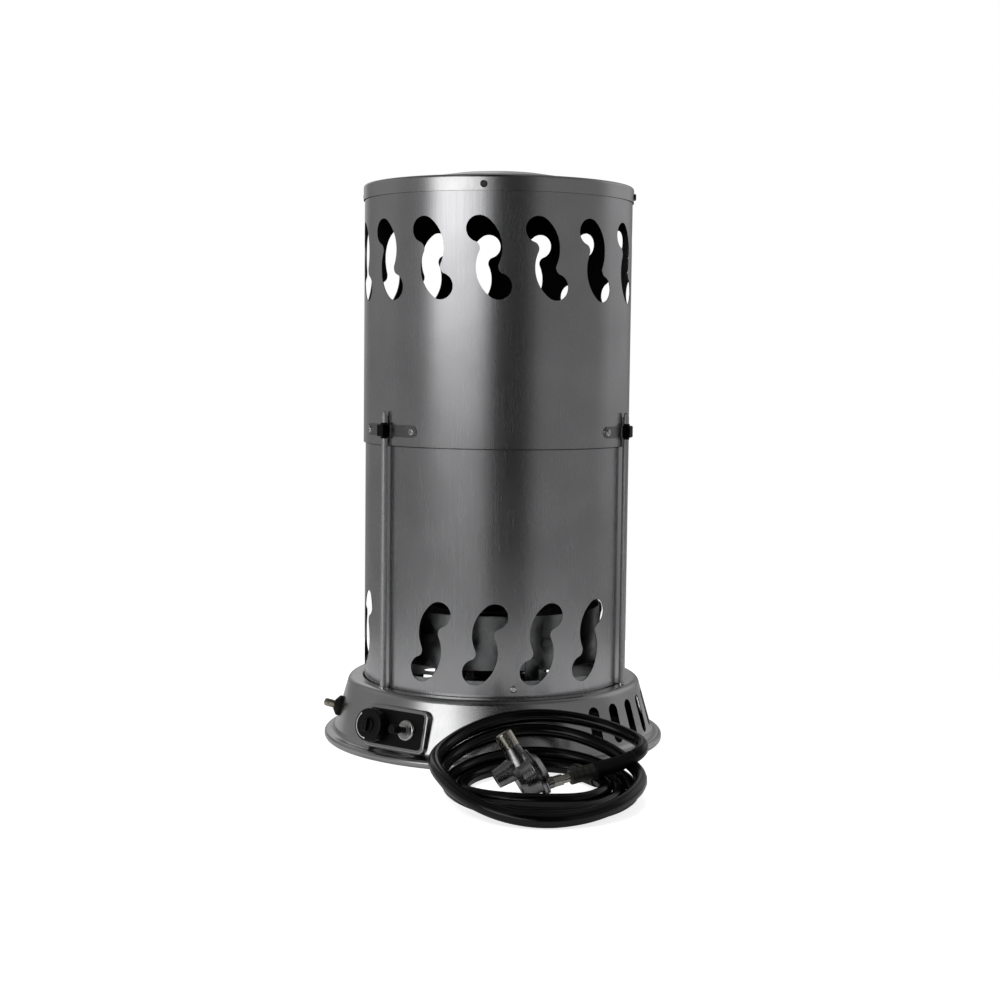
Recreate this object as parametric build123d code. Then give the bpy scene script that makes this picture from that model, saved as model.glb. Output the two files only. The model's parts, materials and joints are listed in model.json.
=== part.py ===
from build123d import *
from math import atan2, cos, degrees, pi, radians, sin, tan
import os

# Portable propane convection heater: a flared pressed base with its gas controls, a two-part perforated
# drum whose upper half slides down three guide rods for storage, and a loose hose set with its regulator.
# Millimetres and degrees. The origin is on the floor, on the drum's axis; +Z is up and the front is -Y.
# An azimuth is measured from the front, towards +X.

# ---------------------------------------------------------------- driving dimensions

# sheet thicknesses
base_wall = 1.0
shell_wall = 0.8
cap_wall = 0.8
strap_wall = 1.2
ring_wall = 0.8

# base pan
lip_radius = 180.0
lip_reach = 9.65
lip_roll = 4.0
lip_bend = 3.5
lip_curl_end = 4.2
flare_round = 6.8
base_slope = 16.15
rim_height = 65.5
rim_width = 14.4
shoulder_round = 7.0
seat_depth = 4.5
seat_gap = 0.4
seat_draft = 1.0
rim_round = 1.6
ledge_width = 26.3

# vent slots of the base
vent_width = 14.0
vent_bottom = 15.5
vent_drop = 11.5
vent_pitch = 10.5
vent_first = 39.5
vent_bank = 7
vent_bank_steps = [0, 8, 16]

# drum: the lower shell stands on the base, the upper one slides over it
drum_gap = 1.3
lower_length = 284.0
upper_length = 264.0
drum_overlap = 32.0

# S-shaped openings of the two shells
hole_count = 15
hole_first = -3.7
upper_hole_drop = 77.5
lower_hole_rise = 57.6
lobe_radius = 13.0
lobe_lean = 9.7
lobe_rise = 27.9
flank_centre = (-23.4, 9.0)
neck_round = 7.0

# top cap
cap_gap = 0.5
skirt_depth = 13.0
cap_rise = 2.5
skirt_round = 3.0
cap_ring_width = 49.3
cap_step_rise = 2.5
cap_step_height = 3.0
cap_step_lean = 2.0
cap_step_round = 2.0
cap_cone_width = 42.0
cap_cone_rise = 7.0
cap_cone_round = 20.0
cap_screw_count = 4
cap_screw_first = -6.0
cap_screw_drop = 7.0

# guide rods, their straps on the upper shell and their clips
rod_places = [-2, 3, 8]
rod_radius = 3.175
rod_gap = 0.325
rod_above_strap = 15.0
rod_tip_radius = 2.3
rod_tip_length = 4.5
rod_fit = 0.05
rod_spigot_radius = 2.0
rod_peen_radius = 2.8
rod_peen_length = 1.5
rod_washer_radius = 4.5
rod_washer_wall = 1.2
strap_rise = 15.0
strap_tall = 12.0
strap_arc = 85.0
strap_rivet_arc = 73.0
bridge_half = 8.0
bridge_top_half = 5.0
clip_wall = 0.6
clip_reach = 2.0
clip_stud_radius = 1.6
clip_plate_width = 10.0
clip_plate_tall = 11.0
clip_plate_wall = 1.0
rivet_radius = 2.0
rivet_head_radius = 3.6
rivet_head_height = 1.8

# pan head screws of the sheet parts
screw_radius = 2.0
screw_head_radius = 3.5
screw_head_height = 2.2
screw_reach = 3.0
screw_fit = 0.1
lower_screw_rise = 13.1

# burner deck inside the lower shell
deck_wall = 1.0
deck_flange_height = 21.0
deck_gap = 0.2
deck_bore = 22.0
air_hole_radius = 11.0
air_hole_circle = 75.0
air_hole_count = 12

# inner drum ring and its brackets
ring_space = 25.9
ring_rise = 26.0
ring_tall = 55.0
bracket_width = 14.0
bracket_foot = 16.0
bracket_wall = 1.2
bracket_overlap = 12.0
bracket_first = 20.3

# burner
venturi_radius = 15.0
venturi_wall = 1.5
venturi_drop = 27.0
venturi_mouth_radius = 20.0
venturi_mouth_height = 9.0
venturi_flange_radius = 38.0
venturi_flange_wall = 2.5
burner_rise = 32.0
burner_radius = 46.0
burner_height = 24.0
burner_wall = 3.0
port_count = 24
port_width = 3.0
port_height = 7.0
burner_screw_circle = 34.0
spreader_radius = 68.0
spreader_gap = 16.0
spreader_rim = 24.0
spreader_wall = 1.0
spreader_dish = 6.0
post_radius = 3.0
post_circle = 36.0

# orifice, its carrier and the gas tubes
orifice_radius = 5.0
orifice_block = 14.0
orifice_drop = 43.0
orifice_length = 12.0
carrier_width = 16.0
carrier_wall = 1.5
carrier_reach = 27.0
tube_radius = 3.0
tube_bend = 10.0
supply_radius = 3.175
supply_lead = 30.0
supply_drop = 14.0

# control boss, plate and valves; places along and up the boss are from its centre
panel_azimuth = -36.0
panel_drop = 32.5
panel_tilt = 13.5
panel_stand = 2.5
boss_length = 78.0
boss_margin = 21.5
boss_round = 8.0
boss_depth = 30.0
boss_edge_round = 2.0
plate_length = 68.0
plate_border = 4.25
plate_round = 4.0
plate_wall = 1.0
knob_place = -23.0
button_place = 16.0
bush_radius = 6.0
bush_fit = 0.1
bush_collar = 2.0
bush_neck_radius = 5.0
magnet_radius = 8.0
magnet_length = 8.0
valve_width = 22.0
valve_depth = 26.0
valve_set_back = 2.0
link_radius = 4.0
bush_nut_radius = 10.5
bush_nut_height = 4.0
knob_nut_width = 16.0
knob_nut_height = 3.0
stem_radius = 3.0
stem_flat = 2.2
stem_fit = 0.03
stem_reach = 13.0
knob_radius = 16.5
knob_skirt_height = 11.0
knob_grip_radius = 7.5
knob_grip_height = 6.0
knob_gap = 1.0
knob_flutes = 16
knob_flute_radius = 1.1
knob_flute_stand = 0.3
knob_flute_stop = 3.0
knob_bar_width = 6.0
knob_bar_height = 4.0
button_travel = 7.0
button_stem_radius = 3.2
button_fit = 0.08
button_cap_radius = 4.3
button_cap_length = 10.0
button_stand = 21.5
button_collar_radius = 5.0
button_collar_length = 2.0
button_rest_gap = 0.3
spring_wire = 0.6
spring_radius = 4.4
spring_clear = 0.5
spring_floor = 5.0
spring_cover = 2.0
spring_turns = 5

# gas inlet, square to the base's wall
inlet_azimuth = -82.0
inlet_drop = 32.5
inlet_thread_radius = 3.97
inlet_thread_chamfer = 1.4
inlet_shank_radius = 4.3
inlet_bore = 1.6
inlet_length = 15.0
inlet_body_width = 13.0
inlet_body_length = 16.0
inlet_seat_gap = 0.3
grommet_radius = 10.7
grommet_flange = 3.0
grommet_cone = 4.0
grommet_tip_radius = 5.2

# thermocouple beside the burner
thermo_azimuth = -30.0
thermo_circle = 56.0
thermo_radius = 2.5
thermo_rise = 22.0
thermo_length = 34.0
thermo_lead_radius = 1.2
thermo_lead_drop = 9.0
thermo_lead_above = 6.0
thermo_lead_below = 14.0
thermo_bracket_width = 10.0
thermo_bracket_wall = 1.2
thermo_bracket_reach = 6.0
thermo_bracket_foot = 9.0
thermo_grip = 8.0

# regulator, lying tilted among the turns of the hose; heights are from its joint face, along its own axis,
# and its neck points along its own X
regulator_place = (40.4, -266.0, 22.7)
regulator_axis = (-0.8465, -0.2380, -0.4761)
regulator_neck_way = (-0.5361, 0.2110, 0.8174)
cover_radius = 19.5
cover_back_radius = 14.0
cover_depth = 7.0
cover_wall = 2.0
flange_radius = 23.0
cover_flange = 1.5
flange_height = 3.0
diaphragm_wall = 0.8
bell_foot_radius = 19.0
bell_top_radius = 13.5
bell_height = 19.2
bell_wall = 3.0
vent_tube_radius = 8.8
vent_tube_foot_radius = 10.5
vent_tube_bore = 5.4
vent_tube_place = 13.0
vent_tube_foot = 12.0
vent_tube_top = 36.0
neck_height = 8.6
neck_foot = 6.0
neck_foot_radius = 15.0
neck_top = 30.0
neck_radius = 8.0
outlet_heading = (0.918, 0.35, 0.18)
outlet_place = 15.8
outlet_stand = 8.0
outlet_boss_radius = 5.5
outlet_boss_sink = 5.0
outlet_bore = 2.5
outlet_hex_width = 9.0
outlet_hex_length = 10.0
outlet_collar_radius = 4.0
outlet_collar_length = 8.0
nipple_radius = 3.6
nipple_fit = 0.08
nipple_sink = 8.0
nipple_flare_radius = 4.9
nipple_flare_length = 2.5
nut_gap = 0.4
cylinder_nut_width = 15.875
cylinder_nut_length = 16.0
cylinder_nut_base = 3.0
cylinder_thread_radius = 5.56
flare_clear = 0.1
flare_stand = 0.3
regulator_spring_radius = 6.0
regulator_spring_wire = 0.8
regulator_spring_turns = 2.5

# hose and its end fittings
hose_radius = 6.25
ferrule_radius = 7.2
ferrule_length = 24.0
ferrule_grooves = 3
groove_width = 1.6
groove_depth = 0.7
tail_length = 8.0
tail_radius = 3.4
nut_fit = 0.08
swivel_nut_width = 15.0
swivel_nut_length = 16.0
swivel_nut_bore = 3.97
swivel_nut_base = 5.2
flare_radius = 3.7
flare_length = 2.5

# coil of hose: right, back, left and front ends of each turn's centre line, from the top turn down
turn_ends = [
    [(143.5, -212.0, 37.0), (44.0, -160.5, 54.5), (-55.0, -262.0, 32.0), (43.0, -381.6, 6.5)],
    [(137.5, -270.0, 20.0), (43.0, -165.0, 41.0), (-48.5, -260.0, 21.5), (42.0, -368.4, 6.5)],
    [(131.0, -268.0, 8.5), (43.5, -171.5, 19.3), (-42.0, -262.0, 10.5), (43.0, -355.2, 6.5)],
    [(118.5, -262.0, 6.5), (43.0, -184.0, 9.5), (-30.0, -265.0, 6.5), (47.0, -308.0, 6.5)],
]
nut_end_heading = (-0.5, 0.866, 0.0)
nut_end_route = [(47.0, -308.0, 6.5), (84.0, -304.0, 6.5), (104.0, -278.0, 7.4), (98.5, -239.0, 9.0)]
regulator_end_route = [(122.0, -243.0, 27.0), (138.0, -238.0, 34.5)]
hose_lead = 14.0
coil_clear = 0.6

# ---------------------------------------------------------------- values that follow

hole_pitch = 360 / hole_count
rod_azimuths = [hole_first + hole_pitch * place for place in rod_places]
screw_azimuths = [azimuth + hole_pitch * (rod_places[1] - rod_places[0]) / 2 for azimuth in rod_azimuths]
burner_screw_azimuths = [panel_azimuth + 120 * k for k in range(3)]
lip_top = 2 * lip_roll
seat_height = rim_height - seat_depth
base_foot_radius = lip_radius - lip_reach
shoulder_radius = base_foot_radius - (rim_height - lip_top) * tan(radians(base_slope))
seat_radius = shoulder_radius - rim_width - seat_draft
throat_radius = seat_radius - ledge_width
vent_top = rim_height - vent_drop
lower_radius = seat_radius - seat_gap
upper_radius = lower_radius + drum_gap + shell_wall
lower_bottom = seat_height
lower_top = seat_height + lower_length
upper_bottom = lower_top - drum_overlap
upper_top = upper_bottom + upper_length
upper_hole_height = upper_top - upper_hole_drop
lower_hole_height = seat_height + lower_hole_rise
lower_screw_height = seat_height + lower_screw_rise
cap_screw_height = upper_top - cap_screw_drop
skirt_bottom = upper_top - skirt_depth
skirt_top = upper_top + cap_rise
strap_height = upper_bottom + strap_rise
rod_top = strap_height + rod_above_strap
rod_circle = upper_radius + rod_gap + rod_radius
strap_radius = upper_radius + strap_wall
bridge_inside = rod_circle + rod_radius + rod_fit + clip_wall
bridge_outside = bridge_inside + strap_wall
cap_inside = upper_radius + cap_gap
cap_radius = cap_inside + cap_wall
cap_step_radius = cap_radius - cap_ring_width
cap_cone_radius = cap_step_radius - cap_cone_width
deck_bottom = seat_height
deck_top = deck_bottom + deck_wall
deck_radius = lower_radius - shell_wall - deck_gap
deck_flange_top = deck_bottom + deck_flange_height
ring_radius = lower_radius - ring_space
ring_bottom = deck_top + ring_rise
ring_top = ring_bottom + ring_tall
venturi_bottom = deck_bottom - venturi_drop
burner_bottom = deck_top + burner_rise
burner_top = burner_bottom + burner_height
spreader_height = burner_top + spreader_gap
thermo_bottom = deck_top + thermo_rise
orifice_height = deck_bottom - orifice_drop
panel_height = rim_height - panel_drop
inlet_height = rim_height - inlet_drop
boss_tall = rim_height - boss_margin
plate_tall = boss_tall - 2 * plate_border
panel_radius = shoulder_radius + panel_drop * tan(radians(base_slope)) + panel_stand
inlet_radius = shoulder_radius + inlet_drop * tan(radians(base_slope))
plate_top = plate_wall
knob_seat = plate_top + knob_nut_height + knob_gap
valve_front = -base_wall - valve_set_back
valve_back = valve_front - valve_depth
button_top = plate_top + bush_nut_height + button_stand
spring_chamber_top = valve_front - spring_cover
collar_top = spring_chamber_top - button_rest_gap
collar_bottom = collar_top - button_collar_length
bell_foot = diaphragm_wall
bell_top = bell_foot + bell_height
cylinder_nut_bottom = neck_top + nut_gap
cylinder_nut_top = cylinder_nut_bottom + cylinder_nut_length
nipple_flare_bottom = cylinder_nut_bottom + cylinder_nut_base + flare_stand
nipple_flare_top = nipple_flare_bottom + nipple_flare_length
swivel_nut_bottom = ferrule_length + nut_gap
swivel_nut_top = swivel_nut_bottom + swivel_nut_length
swivel_flare_bottom = swivel_nut_bottom + swivel_nut_base + flare_stand
swivel_flare_top = swivel_flare_bottom + flare_length
coil_bottom_turn = turn_ends[-1]


# ---------------------------------------------------------------- shapes used by many pieces

def polar(azimuth, radius, height=0.0):
    """Point at an azimuth from the front, a radius and a height."""
    return Vector(radius * sin(radians(azimuth)), -radius * cos(radians(azimuth)), height)


def tube(outer, inner, bottom, top):
    """Upright tube about the drum's axis."""
    return Pos(0, 0, (bottom + top) / 2) * (Cylinder(outer, top - bottom) - Cylinder(inner, top - bottom))


def rod(radius, bottom, top):
    """Upright round bar about the local Z axis."""
    return Pos(0, 0, (bottom + top) / 2) * Cylinder(radius, top - bottom)


def hexagon(width, bottom, top):
    """Hexagonal bar along the local Z axis, by its width across flats."""
    return Pos(0, 0, bottom) * extrude(RegularPolygon(width / 2, 6, major_radius=False), amount=top - bottom)


def turned(*points):
    """Solid turned about Z from a closed outline of (radius, height) points."""
    outline = make_face(Polyline(*[(r, 0, z) for r, z in points], close=True))
    return revolve(outline, Axis.Z)


def sheet(points, bends, wall):
    """Section of bent sheet in the XZ plane; the points run along one skin and the wall is on their right."""
    ways = [(Vector(*q) - Vector(*p)).normalized() for p, q in zip(points, points[1:])]
    rights = [Vector(way.Y, -way.X) for way in ways]
    skin = [Vector(*p) for p in points]
    other = [skin[0] + rights[0] * wall]
    other_bends = []
    for corner, before, after, bend in zip(skin[1:], zip(ways, rights), zip(ways[1:], rights[1:]), bends):
        other.append(corner + (before[1] + after[1]) * (wall / (1 + before[1].dot(after[1]))))
        left_turn = before[0].X * after[0].Y - before[0].Y * after[0].X > 0
        other_bends.append(bend + wall if left_turn else bend - wall)
    other.append(skin[-1] + rights[-1] * wall)
    near = FilletPolyline(*skin, radius=bends)
    far = FilletPolyline(*other, radius=other_bends)
    ends = [Line(skin[0], other[0]), Line(skin[-1], other[-1])]
    return Plane.XZ * make_face([*near.edges(), *far.edges(), *ends])


def arc(centre, start, end, clockwise):
    """Arc about a centre, from start to end."""
    first = atan2(start.Y - centre.Y, start.X - centre.X)
    last = atan2(end.Y - centre.Y, end.X - centre.X)
    sweep = (first - last if clockwise else last - first) % (2 * pi)
    middle = first - sweep / 2 if clockwise else first + sweep / 2
    radius = (start - centre).length
    return ThreePointArc(start, centre + Vector(cos(middle), sin(middle)) * radius, end)


def far_corner(one, one_radius, two, two_radius):
    """The crossing of two circles that lies on the right of the line from the first centre to the second."""
    line = two - one
    along = (line.length ** 2 + one_radius ** 2 - two_radius ** 2) / (2 * line.length)
    aside = (one_radius ** 2 - along ** 2) ** 0.5
    way = line.normalized()
    return one + way * along + Vector(-way.Y, way.X) * aside


def bent_tube(points, radius, bend):
    """Round bar along straight runs joined by arcs."""
    bends = [bend] * (len(points) - 2)
    path = FilletPolyline(*points, radius=bends) if bends else Line(*points)
    start = Plane(path @ 0, z_dir=path % 0)
    return sweep(start * Circle(radius), path=path)


def pan_screw(azimuth, radius, height, reach):
    """Pan head screw through a drum wall, its head on the given radius."""
    head = Pos(0, 0, screw_head_height / 2) * Cylinder(screw_head_radius, screw_head_height)
    head = fillet(head.edges().group_by(Axis.Z)[-1], screw_head_height * 0.55)
    slot = Pos(0, 0, screw_head_height) * Box(screw_head_radius, 0.8, 0.9)
    return wall_plane(azimuth, radius, height) * (head - slot + rod(screw_radius, -reach, 0))


def wall_plane(azimuth, radius, height, tilt=0.0):
    """Plane that faces outwards at an azimuth, leaning up by the tilt; its X runs along the wall."""
    away = polar(azimuth, cos(radians(tilt)), sin(radians(tilt)))
    along = Vector(cos(radians(azimuth)), sin(radians(azimuth)), 0)
    return Plane(polar(azimuth, radius, height), x_dir=along, z_dir=away)


def around(azimuth):
    """Turn from the front to an azimuth."""
    return Rot(0, 0, azimuth)


# ---------------------------------------------------------------- base

def base_outline():
    """Outer skin of the base pan, from its throat to the end of the rolled lip, and its bends."""
    points = [
        (throat_radius, seat_height),
        (seat_radius, seat_height),
        (seat_radius + seat_draft, rim_height),
        (shoulder_radius, rim_height),
        (base_foot_radius, lip_top),
        (lip_radius, lip_top),
        (lip_radius, 0),
        (lip_radius - lip_top, 0),
        (lip_radius - lip_top, lip_curl_end),
    ]
    return points, [seat_gap, rim_round, shoulder_round, flare_round, lip_bend, lip_bend, lip_bend]


def base_filled(inset):
    """Base cone filled to the axis, without its lip, set in from the outer skin."""
    slope = radians(base_slope)
    side = inset / cos(slope)
    top = rim_height - inset
    top_radius = shoulder_radius - side + inset * tan(slope)
    return turned((0, 0), (base_foot_radius + lip_top * tan(slope) - side, 0), (top_radius, top), (0, top))


def make_base_pan():
    panel = panel_plane()
    points, bends = base_outline()
    pan = revolve(sheet(points, bends, base_wall), Axis.Z)
    boss = extrude(RectangleRounded(boss_length, boss_tall, boss_round), amount=-boss_depth)
    boss = panel * fillet(boss.edges().group_by(Axis.Z)[-1], boss_edge_round)
    inside = boss_length - 2 * base_wall, boss_tall - 2 * base_wall, boss_round - base_wall
    hollow = extrude(RectangleRounded(*inside), amount=-boss_depth)
    hollow = panel.offset(-base_wall) * fillet(hollow.edges().group_by(Axis.Z)[-1], boss_edge_round - base_wall)
    pan = pan + (boss - base_filled(base_wall)) - hollow
    bush = rod(bush_radius + bush_fit, -boss_depth / 2, boss_depth / 2)
    pan -= [panel * Pos(place, 0, 0) * bush for place in (knob_place, button_place)]
    pan -= inlet_plane() * rod(inlet_shank_radius + bush_fit, -boss_depth / 2, boss_depth / 2)
    middle = (vent_bottom + vent_top) / 2
    vent = Rot(0, 0, 90) * SlotOverall(vent_top - vent_bottom, vent_width)
    cut = wall_plane(0, seat_radius, middle) * extrude(vent, amount=lip_radius - seat_radius)
    azimuths = []
    for bank in vent_bank_steps:
        azimuths += [vent_first + vent_pitch * (bank + step) for step in range(vent_bank)]
    pan -= [around(azimuth) * cut for azimuth in azimuths]
    spigot = rod(rod_spigot_radius + screw_fit, rim_height - 2 * base_wall, rim_height + base_wall)
    pan -= [Pos(*polar(azimuth, rod_circle)) * spigot for azimuth in rod_azimuths]
    return pan


def make_deck():
    """Flanged plate that closes the pan's throat and carries the burner."""
    skin = [(deck_bore, deck_top), (deck_radius - deck_wall, deck_top), (deck_radius - deck_wall, deck_flange_top)]
    deck = revolve(sheet(skin, [1.0], deck_wall), Axis.Z)
    air = rod(air_hole_radius, deck_bottom - 1, deck_top + 1)
    step = 360 / air_hole_count
    deck -= [around(step * k) * Pos(0, -air_hole_circle, 0) * air for k in range(air_hole_count)]
    hole = rod(screw_radius + screw_fit, -10, 10)
    deck -= [wall_plane(azimuth, deck_radius, lower_screw_height) * hole for azimuth in screw_azimuths]
    seat = rod(screw_radius + screw_fit, deck_bottom - 1, deck_top + 1)
    deck -= [Pos(*polar(azimuth, burner_screw_circle)) * seat for azimuth in burner_screw_azimuths]
    return deck


# ---------------------------------------------------------------- drum

def s_opening():
    """S-shaped outline: two round lobes joined by a wide waist with a neck on each side."""
    upper = Vector(-lobe_lean, lobe_rise)
    lower = -upper
    flank = Vector(*flank_centre)
    flank_radius = (upper - flank).length + lobe_radius
    neck = far_corner(lower, lobe_radius + neck_round, flank, flank_radius + neck_round)
    neck = max(neck, far_corner(flank, flank_radius + neck_round, lower, lobe_radius + neck_round),
               key=lambda point: point.X)
    lobe_end = upper + (upper - flank).normalized() * lobe_radius
    flank_end = flank + (neck - flank).normalized() * flank_radius
    neck_end = lower + (neck - lower).normalized() * lobe_radius
    half = [
        arc(upper, -neck_end, lobe_end, True),
        arc(flank, lobe_end, flank_end, True),
        arc(neck, flank_end, neck_end, False),
    ]
    other = [
        arc(lower, neck_end, -lobe_end, True),
        arc(-flank, -lobe_end, -flank_end, True),
        arc(-neck, -flank_end, -neck_end, False),
    ]
    return make_face(half + other)


def hole_cutters(opening, radius, height, places):
    """Radial cutters for one row of openings."""
    inner = wall_plane(0, radius - lobe_radius, height)
    cutter = inner * extrude(opening, amount=2 * lobe_radius)
    return [around(hole_first + hole_pitch * place) * cutter for place in places]


def make_lower_shell():
    shell = tube(lower_radius, lower_radius - shell_wall, lower_bottom, lower_top)
    open_places = [place for place in range(-7, hole_count - 7)]
    open_places = [place for place in open_places if place % hole_count not in [p % hole_count for p in rod_places]]
    shell -= hole_cutters(mirror(s_opening(), Plane.YZ), lower_radius, lower_hole_height, open_places)
    hole = rod(screw_radius + screw_fit, -10, 10)
    shell -= [wall_plane(azimuth, lower_radius, lower_screw_height) * hole for azimuth in screw_azimuths]
    return shell


def make_upper_shell():
    shell = tube(upper_radius, upper_radius - shell_wall, upper_bottom, upper_top)
    shell -= hole_cutters(s_opening(), upper_radius, upper_hole_height, range(hole_count))
    hole = rod(screw_radius + screw_fit, -10, 10)
    shell -= [wall_plane(azimuth, upper_radius, cap_screw_height) * hole for azimuth in cap_screw_azimuths()]
    rivet = rod(rivet_radius, -10, 10)
    for azimuth in rod_azimuths:
        shell -= [wall_plane(azimuth + side, upper_radius, strap_height) * rivet for side in strap_rivet_sides()]
    return shell


def strap_rivet_sides():
    """Azimuths of a strap's two rivets from its rod."""
    side = degrees(strap_rivet_arc / 2 / upper_radius)
    return [-side, side]


def cap_screw_azimuths():
    return [cap_screw_first + 360 / cap_screw_count * k for k in range(cap_screw_count)]


def make_cap():
    """Pressed cap: skirt over the upper shell, flat ring, step and shallow cone with a flat top."""
    step_foot = skirt_top + cap_step_rise
    step_top = step_foot + cap_step_height
    cone_top = step_top + cap_cone_rise
    skin = [
        (0, cone_top),
        (cap_cone_radius, cone_top),
        (cap_step_radius, step_top),
        (cap_step_radius + cap_step_lean, step_foot),
        (cap_radius, skirt_top),
        (cap_radius, skirt_bottom),
    ]
    cap = revolve(sheet(skin, [cap_cone_round, cap_step_round, cap_step_round, skirt_round], cap_wall), Axis.Z)
    hole = rod(screw_radius + screw_fit, -10, 10)
    cap -= [wall_plane(azimuth, cap_radius, cap_screw_height) * hole for azimuth in cap_screw_azimuths()]
    return cap


# ---------------------------------------------------------------- guide rods and straps

def make_rod(azimuth):
    """Guide rod: it stands on its washer, is peened under the base's rim and has a rounded tip."""
    shoulder = rim_height + rod_washer_wall
    under = rim_height - base_wall
    bar = rod(rod_radius, shoulder, rod_top)
    spigot = rod(rod_spigot_radius, under, shoulder)
    peen = rod(rod_peen_radius, under - rod_peen_length, under)
    tip = rod(rod_tip_radius, rod_top, rod_top + rod_tip_length)
    tip = fillet(tip.edges().group_by(Axis.Z)[-1], rod_tip_radius * 0.9)
    return Pos(*polar(azimuth, rod_circle)) * (bar + spigot + peen + tip)


def make_rod_washers():
    top = rim_height + rod_washer_wall
    washer = tube(rod_washer_radius, rod_spigot_radius + screw_fit, rim_height, top)
    return [Pos(*polar(azimuth, rod_circle)) * washer for azimuth in rod_azimuths]


def make_strap(azimuth):
    """Strap round the upper shell, bridged over the rod."""
    low = strap_height - strap_tall / 2
    high = strap_height + strap_tall / 2
    reach = 2 * strap_radius * sin(strap_arc / 2 / upper_radius)
    mask = wall_plane(0, upper_radius / 2, strap_height) * extrude(SlotOverall(reach, strap_tall), amount=upper_radius)
    band = tube(strap_radius, upper_radius, low, high) & mask
    half_inside = rod_radius + rod_fit + clip_wall
    outer = [(-bridge_half, -upper_radius + 2), (-bridge_top_half, -bridge_outside),
             (bridge_top_half, -bridge_outside), (bridge_half, -upper_radius + 2)]
    raised = Pos(0, 0, low) * extrude(make_face(Polyline(*outer, close=True)), amount=strap_tall)
    channel = Pos(0, -(upper_radius + bridge_inside) / 2, strap_height)
    channel = channel * Box(2 * half_inside, bridge_inside - upper_radius + 4, strap_tall + 2)
    channel = channel & Pos(0, -bridge_inside / 2, strap_height) * Box(4 * bridge_half, bridge_inside, 2 * strap_tall)
    strap = band + raised - channel - rod(upper_radius, low - 1, high + 1)
    strap -= [wall_plane(side, upper_radius, strap_height) * rod(rivet_radius, -5, 5) for side in strap_rivet_sides()]
    strap -= wall_plane(0, bridge_outside, strap_height) * rod(clip_stud_radius, -strap_wall - 1, 1)
    return around(azimuth) * strap


def make_strap_rivets():
    """Domed rivets through the straps and the upper shell."""
    inside = upper_radius - shell_wall
    head = rod(rivet_head_radius, 0, rivet_head_height)
    head = fillet(head.edges().group_by(Axis.Z)[-1], rivet_head_height * 0.95)
    shank = rod(rivet_radius, inside - strap_radius, 0)
    rivet = head + shank
    places = [azimuth + side for azimuth in rod_azimuths for side in strap_rivet_sides()]
    return [wall_plane(place, strap_radius, strap_height) * rivet for place in places]


def make_rod_clips():
    """Clips that grip the rods inside the straps' bridges, each held by a stud under its outer plate."""
    low = strap_height - strap_tall / 2 - clip_reach
    high = strap_height + strap_tall / 2 + clip_reach
    inner = rod_radius + rod_fit
    sleeve = rod(inner + clip_wall, low, high) - rod(inner, low - 1, high + 1)
    sleeve = Pos(0, -rod_circle, 0) * sleeve
    opening_depth = rod_circle - rod_radius * 0.4
    sleeve -= Pos(0, -opening_depth / 2, strap_height) * Box(4 * rod_radius, opening_depth, high - low + 2)
    plate = extrude(Rectangle(clip_plate_width, clip_plate_tall), amount=clip_plate_wall)
    plate = fillet(plate.edges().group_by(Axis.Z)[-1], clip_plate_wall / 2)
    stud = rod(clip_stud_radius, -strap_wall - clip_wall * 0.9, 0) + plate
    stud = wall_plane(0, bridge_outside, strap_height) * stud
    stud -= Pos(0, -rod_circle, 0) * rod(inner, low, high)
    return [around(azimuth) * (sleeve + stud) for azimuth in rod_azimuths]


# ---------------------------------------------------------------- burner

def bracket_azimuths():
    return [bracket_first + 120 * k for k in range(3)]


def make_drum_ring():
    ring = tube(ring_radius, ring_radius - ring_wall, ring_bottom, ring_top)
    return ring


def make_drum_brackets():
    """Angle strips from the deck up to the outside of the inner drum ring."""
    top = ring_bottom + bracket_overlap
    foot = Pos(0, -ring_radius - bracket_foot / 2, deck_top + bracket_wall / 2)
    foot = foot * Box(bracket_width, bracket_foot, bracket_wall)
    leg = tube(ring_radius + bracket_wall, ring_radius, deck_top, top)
    leg = leg & Pos(0, -ring_radius, (deck_top + top) / 2) * Box(bracket_width, bracket_foot, top - deck_top)
    foot = foot - rod(ring_radius, deck_top - 1, top + 1)
    return [around(azimuth) * (leg + foot) for azimuth in bracket_azimuths()]


def make_venturi():
    """Mixing tube with a bell mouth below and a flange on the deck."""
    inner = venturi_radius - venturi_wall
    mouth = venturi_bottom + venturi_mouth_height
    flange_top = deck_top + venturi_flange_wall
    outline = [
        (venturi_mouth_radius - venturi_wall, venturi_bottom),
        (venturi_mouth_radius, venturi_bottom),
        (venturi_radius, mouth),
        (venturi_radius, deck_top),
        (venturi_flange_radius, deck_top),
        (venturi_flange_radius, flange_top),
        (venturi_radius, flange_top),
        (venturi_radius, burner_bottom + burner_wall),
        (inner, burner_bottom + burner_wall),
        (inner, mouth),
    ]
    tube_body = turned(*outline)
    seat = rod(screw_radius + screw_fit, deck_top - 1, flange_top + 1)
    return tube_body - [Pos(*polar(azimuth, burner_screw_circle)) * seat for azimuth in burner_screw_azimuths]


def make_burner_screws():
    """Screws that hold the venturi's flange to the deck."""
    top = deck_top + venturi_flange_wall
    screw = rod(screw_radius, deck_bottom - screw_reach, top) + rod(screw_head_radius, top, top + screw_head_height)
    return [Pos(*polar(azimuth, burner_screw_circle)) * screw for azimuth in burner_screw_azimuths]


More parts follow.
